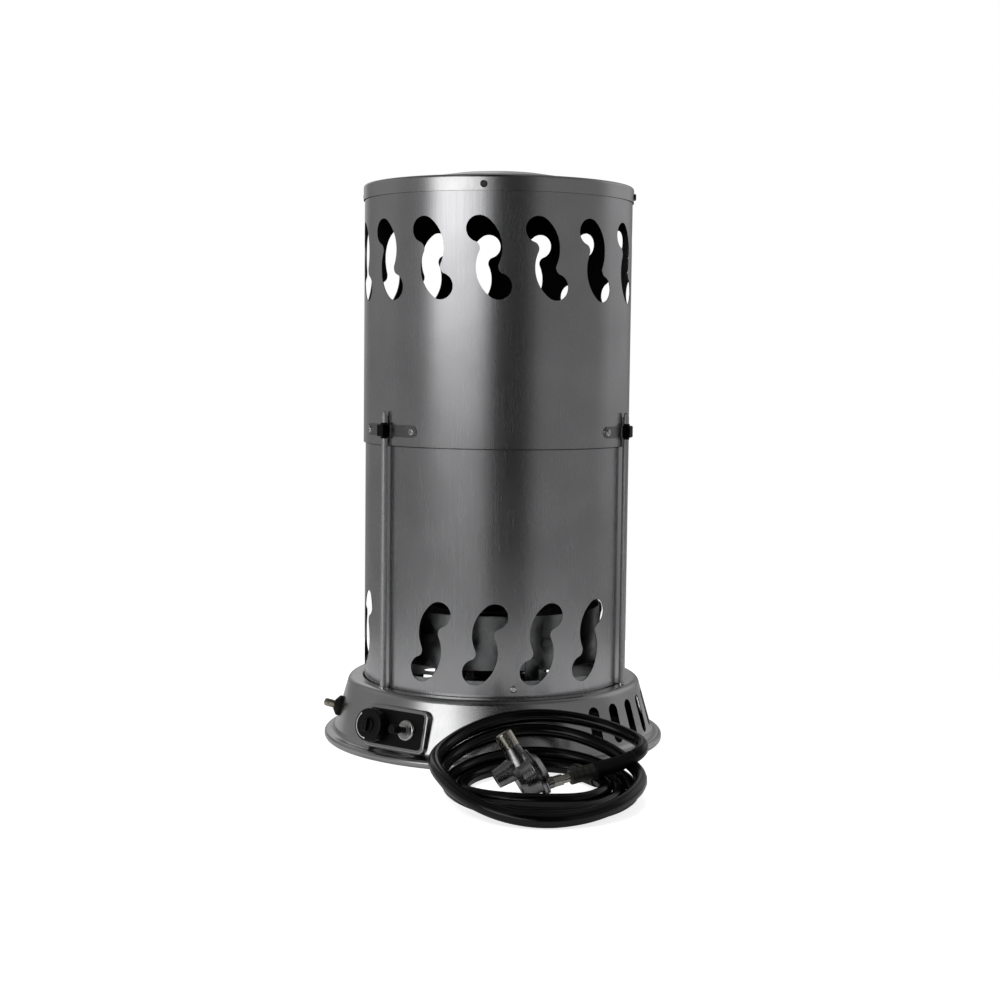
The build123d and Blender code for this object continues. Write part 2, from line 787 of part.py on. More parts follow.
def make_burner():
    """Cast burner head: a flat drum with ports round its side."""
    shell = rod(burner_radius, burner_bottom, burner_top)
    shell = fillet(shell.edges().group_by(Axis.Z)[-1], 4)
    shell -= rod(burner_radius - burner_wall, burner_bottom + burner_wall, burner_top - burner_wall)
    shell -= rod(venturi_radius, burner_bottom - 1, burner_bottom + burner_wall + 1)
    height = burner_bottom + burner_height / 2
    port = wall_plane(0, burner_radius - 2 * burner_wall, height)
    port = port * extrude(Rectangle(port_width, port_height), amount=4 * burner_wall)
    step = 360 / port_count
    return shell - [around(step * (k + 0.5)) * port for k in range(port_count)]


def make_spreader():
    """Dished disc over the burner."""
    low = spreader_height
    flat = spreader_radius - spreader_rim
    return turned((0, low), (flat, low), (spreader_radius, low + spreader_dish),
                  (spreader_radius, low + spreader_dish + spreader_wall), (flat, low + spreader_wall),
                  (0, low + spreader_wall))


def make_spreader_posts():
    post = rod(post_radius, burner_top, spreader_height)
    return [Pos(*polar(azimuth, post_circle)) * post for azimuth in bracket_azimuths()]


def make_orifice():
    """Brass elbow block under the venturi with the gas jet on top."""
    block_bottom = orifice_height - orifice_block / 2
    block_top = orifice_height + orifice_block / 2
    block = Pos(0, 0, orifice_height) * Box(orifice_block, orifice_block, orifice_block)
    jet_top = block_top + orifice_length
    jet = rod(orifice_radius, block_top, jet_top)
    jet = chamfer(jet.edges().group_by(Axis.Z)[-1], orifice_radius * 0.5)
    bore = rod(1.5, block_bottom + 3, jet_top - 3) + rod(0.6, jet_top - 3.5, jet_top + 1)
    return around(panel_azimuth) * (block + jet - bore)


def make_orifice_carrier():
    """U-strip that hangs from the deck and holds the orifice block under the venturi."""
    jet_seat = orifice_height + orifice_block / 2
    strap = [
        (-carrier_reach - carrier_width / 2, deck_bottom),
        (-carrier_reach, deck_bottom),
        (-carrier_reach, jet_seat + carrier_wall),
        (carrier_reach, jet_seat + carrier_wall),
        (carrier_reach, deck_bottom),
        (carrier_reach + carrier_width / 2, deck_bottom),
    ]
    profile = sheet(strap, [2.0, 2.0, 2.0, 2.0], carrier_wall)
    strip = extrude(profile, amount=carrier_width / 2, both=True)
    strip -= rod(orifice_radius, jet_seat - 5, jet_seat + 5)
    return around(panel_azimuth) * strip


# ---------------------------------------------------------------- controls

def panel_plane(stand=0.0):
    return wall_plane(panel_azimuth, panel_radius, panel_height, panel_tilt).offset(stand)


def panel_point(along, stand, up=0.0):
    """Point in front of (or behind) the boss's face."""
    plane = panel_plane()
    return plane.origin + plane.x_dir * along + plane.y_dir * up + plane.z_dir * stand


def make_control_plate():
    plate = extrude(RectangleRounded(plate_length, plate_tall, plate_round), amount=plate_wall)
    hole = rod(bush_radius + bush_fit, -1, plate_wall + 1)
    return panel_plane() * (plate - [Pos(place, 0, 0) * hole for place in (knob_place, button_place)])


def valve_block():
    return Pos(0, 0, (valve_front + valve_back) / 2) * Box(valve_width, valve_width, valve_depth)


def make_control_valve():
    """Valve block with a threaded bushing through the boss, bored for its stem."""
    bush_top = plate_top + knob_nut_height + 0.5
    body = valve_block() + rod(bush_radius, valve_front, bush_top)
    body -= rod(stem_radius + stem_fit, valve_back + 6, bush_top + 1)
    return panel_plane() * Pos(knob_place, 0, 0) * body


def make_safety_valve():
    """Safety valve block: its spring and button sit in the bushing, its magnet housing is at the back."""
    bush_top = plate_top + bush_nut_height + bush_collar
    body = valve_block() + rod(bush_radius, valve_front, plate_top + bush_nut_height)
    body += rod(bush_neck_radius, plate_top + bush_nut_height, bush_top)
    body += rod(magnet_radius, valve_back - magnet_length, valve_back)
    body -= rod(button_stem_radius + button_fit, spring_chamber_top - 1, bush_top + 1)
    body -= rod(spring_radius + spring_wire + spring_clear, valve_back + spring_floor, spring_chamber_top)
    return panel_plane() * Pos(button_place, 0, 0) * body


def make_valve_link():
    """Short nipple between the two valve blocks."""
    left = knob_place + valve_width / 2
    right = button_place - valve_width / 2
    bar = Rot(0, 90, 0) * Cylinder(link_radius, right - left)
    return panel_plane() * Pos((left + right) / 2, 0, (valve_front + valve_back) / 2) * bar


def make_knob_nut():
    top = plate_top + knob_nut_height
    nut = hexagon(knob_nut_width, plate_top, top) - rod(bush_radius, plate_top - 1, top + 1)
    return panel_plane() * Pos(knob_place, 0, 0) * nut


def make_bush_nut():
    """Round domed nut on the safety valve's bushing."""
    nut = rod(bush_nut_radius, plate_top, plate_top + bush_nut_height)
    nut = fillet(nut.edges().group_by(Axis.Z)[-1], 2.2)
    nut -= rod(bush_radius, plate_top - 1, plate_top + bush_nut_height + 1)
    return panel_plane() * Pos(button_place, 0, 0) * nut


def knob_stem_section(radius):
    return Circle(radius) & Pos(0, -radius + stem_flat, 0) * Rectangle(4 * radius, 2 * radius)


def make_valve_stem():
    """Stem with a flat, which the knob turns."""
    top = knob_seat + stem_reach
    round_part = rod(stem_radius, valve_back + 8, plate_top + knob_nut_height + 0.5)
    flat_part = Pos(0, 0, plate_top + knob_nut_height + 0.5)
    flat_part = flat_part * extrude(knob_stem_section(stem_radius), amount=top - plate_top - knob_nut_height - 0.5)
    return panel_plane() * Pos(knob_place, 0, 0) * (round_part + flat_part)


def make_knob():
    """Knob with a fluted side and a raised grip with a pointer bar on its face."""
    skirt_top_height = knob_seat + knob_skirt_height
    grip_top = skirt_top_height + knob_grip_height - knob_bar_height
    bar_top = skirt_top_height + knob_grip_height
    skirt = rod(knob_radius, knob_seat, skirt_top_height)
    skirt = fillet(skirt.edges().group_by(Axis.Z)[-1], 1.5)
    grip = rod(knob_grip_radius, skirt_top_height - 0.5, grip_top)
    grip = fillet(grip.edges().group_by(Axis.Z)[-1], 1.0)
    step = 360 / knob_flutes
    flute = rod(knob_flute_radius, knob_seat - 1, skirt_top_height - knob_flute_stop)
    skirt -= [Rot(0, 0, step * k) * Pos(knob_radius + knob_flute_stand, 0, 0) * flute for k in range(knob_flutes)]
    bar = Pos(0, 0, (grip_top + bar_top) / 2 - 0.5) * Box(knob_bar_width, 2 * knob_grip_radius - 2, knob_bar_height + 1)
    bar = fillet(bar.edges().group_by(Axis.Z)[-1], 1.0)
    bore_depth = stem_reach + 0.5
    bore = Pos(0, 0, knob_seat - 0.5) * extrude(knob_stem_section(stem_radius), amount=bore_depth)
    recess = rod(bush_radius + 1.5, knob_seat - 1, knob_seat + 1)
    return panel_plane() * Pos(knob_place, 0, 0) * (skirt + grip + bar - bore - recess)


def make_button():
    """Push button: a cap on its stem, with a collar that the spring lifts."""
    cap_bottom = button_top - button_cap_length
    cap = rod(button_cap_radius, cap_bottom, button_top)
    cap = fillet(cap.edges().group_by(Axis.Z)[-1], 1.2)
    stem = rod(button_stem_radius, collar_bottom, cap_bottom)
    collar = rod(button_collar_radius, collar_bottom, collar_top)
    return panel_plane() * Pos(button_place, 0, 0) * (cap + stem + collar)


def make_button_spring():
    """Return spring under the button's collar, drawn at the length it has with the button pressed."""
    bottom = valve_back + spring_floor + spring_wire
    height = collar_bottom - button_travel - button_rest_gap - spring_wire - bottom
    coil = Helix(height / spring_turns, height, spring_radius)
    wire = sweep(Plane(coil @ 0, z_dir=coil % 0) * Circle(spring_wire), path=coil, is_frenet=True)
    return panel_plane() * Pos(button_place, 0, bottom) * wire


# ---------------------------------------------------------------- gas inlet and tubes

def inlet_plane(stand=0.0):
    return wall_plane(inlet_azimuth, inlet_radius, inlet_height, base_slope).offset(stand)


def make_inlet():
    """Inlet fitting: thread and flare cone outside, hexagonal shoulder inside the wall."""
    shoulder = -base_wall - inlet_seat_gap
    body = hexagon(inlet_body_width, shoulder - inlet_body_length, shoulder)
    shank_top = grommet_flange + grommet_cone
    tip = inlet_length + grommet_flange
    nose = rod(inlet_thread_radius, shank_top, tip)
    nose = chamfer(nose.edges().group_by(Axis.Z)[-1], inlet_thread_chamfer)
    nose += rod(inlet_shank_radius, shoulder, shank_top)
    bore = rod(inlet_bore, shoulder - inlet_body_length - 1, tip + 1)
    return inlet_plane() * (body + nose - bore)


def make_grommet():
    """Conical collar round the inlet, shaped to the base's wall."""
    top = grommet_flange + grommet_cone
    inner = inlet_shank_radius
    collar = turned((inner, -2), (grommet_radius, -2), (grommet_radius, grommet_flange), (grommet_tip_radius, top),
                    (inner, top))
    return inlet_plane() * collar - base_filled(0)


def make_supply_tube():
    """Tube from the inlet fitting, under the control valve, up to the safety valve."""
    plane = inlet_plane()
    start = plane.origin - plane.z_dir * (base_wall + inlet_seat_gap + inlet_body_length)
    middle = (valve_front + valve_back) / 2
    port = panel_point(button_place, middle, -valve_width / 2)
    below = panel_point(button_place, middle, -valve_width / 2 - supply_drop)
    return bent_tube([start, start - plane.z_dir * supply_lead, below, port], supply_radius, tube_bend)


def make_burner_tube():
    """Tube from the control valve's back to the orifice block."""
    start = panel_point(knob_place, valve_back)
    back = -panel_plane().z_dir
    level = polar(panel_azimuth, 1)
    end = level * (orifice_block / 2) + Vector(0, 0, orifice_height)
    points = [start, start + back * 20, end + level * 30, end]
    return bent_tube(points, tube_radius, tube_bend)


def make_thermocouple():
    place = polar(thermo_azimuth, thermo_circle)
    probe = rod(thermo_radius, thermo_bottom, thermo_bottom + thermo_length)
    probe = fillet(probe.edges().group_by(Axis.Z)[-1], thermo_radius * 0.8)
    return Pos(*place) * probe


def make_thermo_bracket():
    """Angle on the deck, on the burner's side of the probe, with an eye for it."""
    height = thermo_bottom + thermo_grip
    leg_at = thermo_circle - thermo_bracket_reach
    wall = thermo_bracket_wall
    profile = sheet([(leg_at - thermo_bracket_foot, deck_top + wall), (leg_at, deck_top + wall), (leg_at, height),
                     (thermo_circle + thermo_bracket_reach, height)], [1.0, 2.0], wall)
    bracket = extrude(profile, amount=thermo_bracket_width / 2, both=True)
    bracket = Rot(0, 0, -90) * bracket
    eye = Pos(0, -thermo_circle, 0) * rod(thermo_radius, height - 5, height + 5)
    return around(thermo_azimuth) * (bracket - eye)


def make_thermo_lead():
    """Lead from the probe's foot, down through an air hole, to the back of the safety valve."""
    top = polar(thermo_azimuth, thermo_circle, thermo_bottom)
    low = polar(thermo_azimuth, air_hole_circle, deck_bottom)
    port = panel_point(button_place, valve_back - magnet_length)
    back = -panel_plane().z_dir
    points = [top, top - Vector(0, 0, thermo_lead_drop), low + Vector(0, 0, thermo_lead_above),
              low - Vector(0, 0, thermo_lead_below), port + back * thermo_lead_below, port]
    return bent_tube(points, thermo_lead_radius, 4.0)


# ---------------------------------------------------------------- regulator

def regulator_plane():
    axis = Vector(*regulator_axis).normalized()
    return Plane(Vector(*regulator_place), x_dir=Vector(*regulator_neck_way), z_dir=axis)


def neck_plane():
    """Plane whose Z runs along the regulator's neck, from the regulator's axis."""
    return regulator_plane() * Pos(0, 0, neck_height) * Rot(0, 90, 0)


def outlet_frame(stand):
    """Plane across the outlet's axis, at a distance past the end of its boss."""
    plane = regulator_plane()
    heading = Vector(*outlet_heading).normalized()
    foot = plane.origin - plane.x_dir * outlet_place - plane.z_dir * outlet_stand
    return Plane(foot + heading * stand, z_dir=heading)


def make_regulator_cover():
    """Dished cover behind the diaphragm, with the outlet's boss."""
    cover = turned((0, -cover_depth), (cover_back_radius, -cover_depth), (cover_radius, -cover_flange),
                   (flange_radius, -cover_flange), (flange_radius, 0), (0, 0))
    inside = turned((0, cover_wall - cover_depth), (cover_back_radius - cover_wall, cover_wall - cover_depth),
                    (cover_radius - cover_wall, -cover_flange / 2), (cover_radius - cover_wall, 1), (0, 1))
    cover = regulator_plane() * (cover - inside)
    boss = outlet_frame(0) * rod(outlet_boss_radius, -outlet_boss_sink, 0)
    bore = outlet_frame(0) * rod(outlet_bore, -outlet_boss_sink - 1, 1)
    return cover + boss - bore


def make_diaphragm():
    return regulator_plane() * rod(flange_radius - 1.0, 0, diaphragm_wall)


def make_regulator_body():
    """Cast body: a flange, a dome, a vent tube beside its axis and a conical neck for the cylinder's nut."""
    flange_top = bell_foot + flange_height
    bell = turned((0, bell_foot), (flange_radius, bell_foot), (flange_radius, flange_top),
                  (bell_foot_radius, flange_top), ((bell_foot_radius + bell_top_radius) / 2 + 1, bell_top - 5),
                  (bell_top_radius, bell_top), (0, bell_top))
    vent = turned((0, vent_tube_foot), (vent_tube_foot_radius, vent_tube_foot), (vent_tube_foot_radius, bell_top),
                  (vent_tube_radius, vent_tube_top), (0, vent_tube_top))
    bell += Pos(vent_tube_place, 0, 0) * vent
    neck = turned((0, neck_foot), (neck_foot_radius, neck_foot), (neck_radius, neck_top), (0, neck_top))
    neck = Pos(0, 0, neck_height) * Rot(0, 90, 0) * neck
    above = Pos(0, 0, bell_foot + vent_tube_top / 2) * Box(4 * neck_top, 4 * neck_top, vent_tube_top)
    bell += neck & above
    hollow = turned((0, bell_foot - 1), (bell_foot_radius - bell_wall, bell_foot - 1),
                    (bell_foot_radius - bell_wall, flange_top), (bell_top_radius - bell_wall, bell_top - bell_wall),
                    (0, bell_top - bell_wall))
    bell -= hollow
    bell -= Pos(vent_tube_place, 0, 0) * rod(vent_tube_bore, bell_top, vent_tube_top + 1)
    bell -= Pos(0, 0, neck_height) * Rot(0, 90, 0) * rod(nipple_radius, neck_top - nipple_sink, neck_top + 1)
    return regulator_plane() * bell


def make_regulator_spring():
    """Spring in the body, over the diaphragm."""
    bottom = bell_foot + regulator_spring_wire + nut_gap
    height = bell_top - bell_wall - regulator_spring_wire - nut_gap - bottom
    coil = Helix(height / regulator_spring_turns, height, regulator_spring_radius)
    wire = Plane(coil @ 0, z_dir=coil % 0) * Circle(regulator_spring_wire / 2)
    return regulator_plane() * Pos(0, 0, bottom) * sweep(wire, path=coil, is_frenet=True)


def flared_tail(radius, low, flare_radius, flare_low, flare_high, bore_radius):
    """Bored tube with a wider flare at its end, along the local Z axis."""
    tail = rod(radius, low, flare_low) + rod(flare_radius, flare_low, flare_high)
    return tail - rod(bore_radius, low - 1, flare_high + 1)


def flare_nut(width, bottom, base, top, neck, flare_radius, flare_top, thread_radius):
    """Swivel nut over a flared tail: a base round the tail, room for the flare, and the thread's bore."""
    nut = hexagon(width, bottom, top)
    rounded = rod(width / 2 + nut_gap, bottom, top)
    rounded = fillet(rounded.edges().group_by(Axis.Z)[-1], width / 6)
    nut = nut & rounded
    nut -= rod(neck + nipple_fit, bottom - 1, top)
    nut -= rod(flare_radius + flare_clear, bottom + base, top)
    return nut - rod(thread_radius, flare_top + flare_stand, top + 1)


def make_inlet_nipple():
    """Nipple from the neck into the cylinder nut, with a flare that seats in the cylinder's valve."""
    tail = flared_tail(nipple_radius, neck_top - nipple_sink, nipple_flare_radius, nipple_flare_bottom,
                       nipple_flare_top, nipple_radius / 2)
    return neck_plane() * tail


def make_cylinder_nut():
    """Swivel nut for the gas cylinder's valve."""
    nut = flare_nut(cylinder_nut_width, cylinder_nut_bottom, cylinder_nut_base, cylinder_nut_top, nipple_radius,
                    nipple_flare_radius, nipple_flare_top, cylinder_thread_radius)
    return neck_plane() * nut


def ferrule_body():
    """Crimped sleeve from 0 up to its length, bored for the tail of the fitting."""
    body = rod(ferrule_radius, 0, ferrule_length)
    body = fillet(body.edges().group_by(Axis.Z)[-1], 0.8)
    step = ferrule_length / (ferrule_grooves + 1)
    for k in range(ferrule_grooves):
        low = step * (k + 1) - groove_width / 2
        body -= tube(ferrule_radius + 1, ferrule_radius - groove_depth, low, low + groove_width)
    return body - rod(tail_radius, -1, tail_length)


def make_outlet_fitting():
    """Hexagon on the outlet boss, a collar, and a tail into the ferrule."""
    hex_part = hexagon(outlet_hex_width, 0, outlet_hex_length)
    collar = rod(outlet_collar_radius, outlet_hex_length, outlet_hex_length + outlet_collar_length)
    tail = rod(tail_radius, 0, outlet_hex_length + outlet_collar_length + tail_length)
    return outlet_frame(0) * (hex_part + collar + tail)


def make_regulator_ferrule():
    return outlet_frame(outlet_hex_length + outlet_collar_length) * ferrule_body()


# ---------------------------------------------------------------- hose

def nut_end_frame(stand):
    """Plane across the hose's other end, at a distance past the ferrule's start."""
    heading = Vector(*nut_end_heading).normalized()
    return Plane(Vector(*nut_end_route[-1]) + heading * stand, z_dir=heading)


def make_nut_ferrule():
    return nut_end_frame(0) * Pos(0, 0, ferrule_length) * Rot(180, 0, 0) * ferrule_body()


def make_swivel_tail():
    """Tail of the hose's far end: into the ferrule, through the nut's base, with a flare seat in the nut."""
    tail = flared_tail(tail_radius, ferrule_length - tail_length, flare_radius, swivel_flare_bottom,
                       swivel_flare_top, tail_radius / 2)
    return nut_end_frame(0) * tail


def make_swivel_nut():
    """Swivel nut that turns on the tail and screws on the heater's inlet."""
    nut = flare_nut(swivel_nut_width, swivel_nut_bottom, swivel_nut_base, swivel_nut_top, tail_radius,
                    flare_radius, swivel_flare_top, swivel_nut_bore)
    return nut_end_frame(0) * nut


def base_keep_out():
    """Filled outer shape of the base, grown by a clearance, that the coil leans on."""
    slope = tan(radians(base_slope))
    low = lip_top + coil_clear
    top = rim_height + coil_clear
    side = coil_clear / cos(radians(base_slope))
    return turned((0, -1), (lip_radius + coil_clear, -1), (lip_radius + coil_clear, low),
                  (base_foot_radius + flare_round + side, low),
                  (base_foot_radius - flare_round * slope + side, low + flare_round),
                  (shoulder_radius + side, top), (0, top))


def make_coil():
    """Outer shape of the loose turns: low in front, leaning up on the base behind, open in the middle."""
    right = max(turn[0][0] for turn in turn_ends) + hose_radius
    left = min(turn[2][0] for turn in turn_ends) - hose_radius
    front = min(turn[3][1] for turn in turn_ends) - hose_radius
    back = max(turn[1][1] for turn in turn_ends) + hose_radius
    high = max(turn[1][2] for turn in turn_ends) + hose_radius
    low = 2 * hose_radius + 0.5
    across = Ellipse((right - left) / 2, (back - front) / 2)
    body = Pos((right + left) / 2, (back + front) / 2, 0) * extrude(across, amount=high)
    hole_right = coil_bottom_turn[0][0] - hose_radius
    hole_left = coil_bottom_turn[2][0] + hose_radius
    hole_front = coil_bottom_turn[3][1] + hose_radius
    hole_back = coil_bottom_turn[1][1] - hose_radius
    hole = RectangleRounded(hole_right - hole_left, hole_back - hole_front, (hole_back - hole_front) * 0.42)
    hole = Pos((hole_right + hole_left) / 2, (hole_back + hole_front) / 2, -1) * extrude(hole, amount=high + 2)
    wedge = make_face(Polyline((front - 1, -1), (back + 1, -1), (back + 1, high), (back, high), (front - 1, low),
                               close=True))
    wedge = Plane.YZ * extrude(wedge, amount=2 * right, both=True)
    return (body & wedge) - hole - base_keep_out()


def corner_radii(points):
    """Arc radii for a hose route: 0.45 of the shorter run over the tangent of half the turn."""
    radii = []
    for before, corner, after in zip(points, points[1:], points[2:]):
        way_in = corner - before
        way_out = after - corner
        half = way_in.get_angle(way_out) / 2
        radii.append(0.45 * min(way_in.length, way_out.length) / tan(radians(half)))
    return radii


def hose_run(name, points, coil):
    """Tube along a route, cut off where it runs into the coil."""
    radii = corner_radii(points)
    path = FilletPolyline(*points, radius=radii)
    run = sweep(Plane(path @ 0, z_dir=path % 0) * Circle(hose_radius), path=path)
    expected = path.length * pi * hose_radius ** 2
    print(f"{name}: radii {[round(radius, 1) for radius in radii]}, length {path.length:.1f}, "
          f"volume {run.volume:.0f} of {expected:.0f}")
    return run - coil


# ---------------------------------------------------------------- build

def first_solid(shape):
    """The one solid of a cut tube that starts at the fitting: its largest piece."""
    return max(shape.solids(), key=lambda solid: solid.volume)


coil = make_coil()
outlet_end = outlet_hex_length + outlet_collar_length + ferrule_length
regulator_run = [outlet_frame(outlet_end).origin, outlet_frame(outlet_end + hose_lead).origin]
regulator_run += [Vector(*point) for point in regulator_end_route]
nut_run = [Vector(*point) for point in nut_end_route[:-1]]
nut_run += [nut_end_frame(-hose_lead).origin, nut_end_frame(0).origin]

nodes = {
    "base_pan": make_base_pan(),
    "burner_deck": make_deck(),
    "lower_shell": make_lower_shell(),
    "lower_shell_screws": [
        pan_screw(azimuth, lower_radius, lower_screw_height, screw_reach) for azimuth in screw_azimuths
    ],
    "rod_washers": make_rod_washers(),
    "upper_shell": make_upper_shell(),
    "strap_rivets": make_strap_rivets(),
    "rod_clips": make_rod_clips(),
    "top_cap": make_cap(),
    "cap_screws": [
        pan_screw(azimuth, cap_radius, cap_screw_height, screw_reach) for azimuth in cap_screw_azimuths()
    ],
    "drum_ring": make_drum_ring(),
    "drum_brackets": make_drum_brackets(),
    "venturi_tube": make_venturi(),
    "burner_screws": make_burner_screws(),
    "burner_head": make_burner(),
    "flame_spreader": make_spreader(),
    "spreader_posts": make_spreader_posts(),
    "orifice_block": make_orifice(),
    "orifice_carrier": make_orifice_carrier(),
    "burner_tube": make_burner_tube(),
    "control_plate": make_control_plate(),
    "control_valve": make_control_valve(),
    "valve_stem": make_valve_stem(),
    "knob_nut": make_knob_nut(),
    "heat_knob": make_knob(),
    "valve_link": make_valve_link(),
    "safety_valve": make_safety_valve(),
    "safety_valve_nut": make_bush_nut(),
    "gas_button": make_button(),
    "button_spring": make_button_spring(),
    "gas_inlet": make_inlet(),
    "inlet_grommet": make_grommet(),
    "supply_tube": make_supply_tube(),
    "thermocouple": make_thermocouple(),
    "thermocouple_bracket": make_thermo_bracket(),
    "thermocouple_lead": make_thermo_lead(),
    "regulator_cover": make_regulator_cover(),
    "regulator_diaphragm": make_diaphragm(),
    "regulator_spring": make_regulator_spring(),
    "regulator_body": make_regulator_body(),
    "inlet_nipple": make_inlet_nipple(),
    "cylinder_nut": make_cylinder_nut(),
    "outlet_fitting": make_outlet_fitting(),
    "regulator_ferrule": make_regulator_ferrule(),
    "hose_coil": coil,
    "hose_regulator_run": first_solid(hose_run("regulator run", regulator_run, coil)),
    "hose_nut_run": first_solid(hose_run("nut run", nut_run, coil)),
    "nut_ferrule": make_nut_ferrule(),
    "swivel_tail": make_swivel_tail(),
    "swivel_nut": make_swivel_nut(),
}
for number, azimuth in enumerate(rod_azimuths, 1):
    nodes[f"guide_rod_{number}"] = make_rod(azimuth)
    nodes[f"rod_strap_{number}"] = make_strap(azimuth)

os.makedirs("parts", exist_ok=True)
for name, shape in nodes.items():
    solids = shape if isinstance(shape, list) else [shape]
    solids = [solid for piece in solids for solid in piece.solids()]
    whole = solids[0] if len(solids) == 1 else Compound(children=solids)
    export_step(whole, f"parts/{name}.step")
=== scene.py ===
import json
from math import cos, pi, radians, sin

import bpy
from mathutils import Matrix, Vector


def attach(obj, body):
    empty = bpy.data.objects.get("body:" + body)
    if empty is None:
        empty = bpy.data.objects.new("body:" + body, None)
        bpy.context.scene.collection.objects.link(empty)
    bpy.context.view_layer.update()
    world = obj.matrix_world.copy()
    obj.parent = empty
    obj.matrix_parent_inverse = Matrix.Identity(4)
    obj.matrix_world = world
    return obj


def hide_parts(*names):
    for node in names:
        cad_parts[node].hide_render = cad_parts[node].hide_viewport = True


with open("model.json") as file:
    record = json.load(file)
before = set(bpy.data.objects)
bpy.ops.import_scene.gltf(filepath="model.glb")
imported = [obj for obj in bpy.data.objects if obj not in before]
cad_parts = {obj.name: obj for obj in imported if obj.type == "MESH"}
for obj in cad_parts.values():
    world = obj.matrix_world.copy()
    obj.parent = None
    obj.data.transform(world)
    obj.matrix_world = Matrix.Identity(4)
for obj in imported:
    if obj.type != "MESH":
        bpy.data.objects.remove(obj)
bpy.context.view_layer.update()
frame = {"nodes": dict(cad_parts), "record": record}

bl_info = {
    "name": "Propane Heater Dressing",
    "version": (1, 0, 0),
    "blender": (4, 5, 0),
    "location": "View3D > Sidebar > Heater",
    "description": "Finishes, hose and small hardware of a portable propane heater",
    "category": "Object",
}

# ------------------------------------------------------------------ places on the frame, in mm

# Hose: from the regulator's ferrule to the coil, and from the coil to the ferrule of its swivel nut.
REGULATOR_END = [
    (94.05, -252.77, 21.05), (106.92, -247.86, 23.58), (122.0, -243.0, 27.0), (138.0, -238.0, 34.5),
]
NUT_END = [(84.0, -304.0, 6.5), (104.0, -278.0, 7.4), (105.5, -251.12, 9.0), (98.5, -239.0, 9.0)]

# Right, back, left and front centres of each loose turn, from the top turn down.
TURNS = [
    [(143.5, -212.0, 37.0), (44.0, -160.5, 54.5), (-55.0, -262.0, 32.0), (43.0, -381.6, 6.5)],
    [(137.5, -270.0, 20.0), (43.0, -165.0, 41.0), (-48.5, -260.0, 21.5), (42.0, -368.4, 6.5)],
    [(131.0, -268.0, 8.5), (43.5, -171.5, 19.3), (-42.0, -262.0, 10.5), (43.0, -355.2, 6.5)],
    [(118.5, -262.0, 6.5), (43.0, -184.0, 9.5), (-30.0, -265.0, 6.5), (47.0, -308.0, 6.5)],
]
QUARTER_STEPS = 4

# Gas inlet: the place and axis of its fitting, square to the base's wall.
INLET_ORIGIN = (-161.52227, -22.700475, 33.0)
INLET_ALONG = (0.139173, -0.990268, 0.0)
INLET_UP = (0.275446, 0.038711, 0.960537)
INLET_OUT = (-0.951189, -0.133681, 0.278153)

# Ridges on the inlet's thread: how far out they start, and their radius as a share of the pitch.
INLET_THREAD_START = 7.8
THREAD_RIDGE = 0.34

# Control boss: the place and axes of its face, and the knob's place along it.
PANEL_ORIGIN = (-97.342905, -133.981015, 33.0)
PANEL_ALONG = (0.809017, -0.587785, 0.0)
PANEL_UP = (0.137216, 0.188861, 0.97237)
PANEL_OUT = (-0.571545, -0.786664, 0.233445)
KNOB_PLACE = -23.0
KNOB_SKIRT_TOP = 16.0

# The pale arc on the knob's skirt: where it starts and ends in degrees, its height, and how deep it is sunk.
MARK_START = 135
MARK_END = 262
MARK_THICK = 0.12
MARK_SINK = 0.02

# Bend protector: the share of its wall that it loses towards its free end, the share taken off both of its
# edges, and its bore as a share of the hose's radius.
SLEEVE_TAPER = 0.75
SLEEVE_EDGE = 0.2
SLEEVE_BORE = 0.98

# Straps: their height and outer radius, the azimuth of the first rod that they bridge, and how far beside
# each rod, in degrees, its clip's two small screws sit.
STRAP_HEIGHT = 328.0
STRAP_RADIUS = 141.2
ROD_AZIMUTH = -51.7
CLIP_SCREW_ANGLE = 4.6

# The lower edge of the upper drum, and the width of the painted shadow line under it on the lower one.
SEAM_HEIGHT = 313.0
SEAM_SHADOW_WIDTH = 1.3

# Crystals of galvanised sheet: how wide one is.
SPANGLE_SIZE = 8.0

# ------------------------------------------------------------------ stage, in metres unless said otherwise

# The floor is painted dark as shade this near to the heater's axis, and its centre lies this far in front of
# it.
BASE_SHADE = 0.177
FLOOR_FORWARD = 0.1

# Camera: its place in mm, how it is turned in degrees, and its focal length in mm.
CAMERA_PLACE = (0, -1840.92, 402.04)
CAMERA_YAW = 0.149
CAMERA_PITCH = 4.67
CAMERA_ROLL = 0.66
CAMERA_LENS = 62.56

# Lamps: name, place, what it is aimed at, size and power in watts.
LAMPS = [
    ("key_lamp", (-1.4, -1.8, 2.4), (0, 0, 0.25), 1.2, 40),
    ("top_lamp", (0.1, 0.35, 2.5), (0, -0.1, 0), 0.9, 18),
]

# Light of the room's wall between its strips, the least that it falls to, and where the wall starts.
ROOM_LIGHT = 0.215
ROOM_DARKEST = 0.02
ROOM_BOTTOM = -1.5

# The wall's light dims between these heights, to this share.
DIM_START = 2.2
DIM_END = 3.2
DIM_SHARE = 0.45

# The share of a strip's half width over which it has its full strength.
STRIP_CORE = 0.45

# Upright strips of the room's wall: centre and half width in degrees from the front, two heights, and the
# strength at each. A strip below zero takes light away.
ROOM_STRIPS = [
    (-33, 31, 0.32, 0.98, (0.0, 3.1)),
    (-10, 22, 0.98, 1.08, (0.0, -3.1)),
    (-40, 22, 0.98, 1.15, (0.0, -1.4)),
    (-33, 31, 1.25, 1.9, (0.0, -1.4)),
    (125, 34, -0.3, 1.2, (0.0, 0.3)),
    (-112, 26, -0.3, 1.2, (0.0, 0.1)),
    (11, 25, 0.0, 1.0, (-0.195, -0.17)),
    (-168, 26, 0.0, 1.2, (0.05, 0.45)),
    (176, 14, 0.0, 1.2, (0.0, 0.2)),
]

# ------------------------------------------------------------------ small helpers


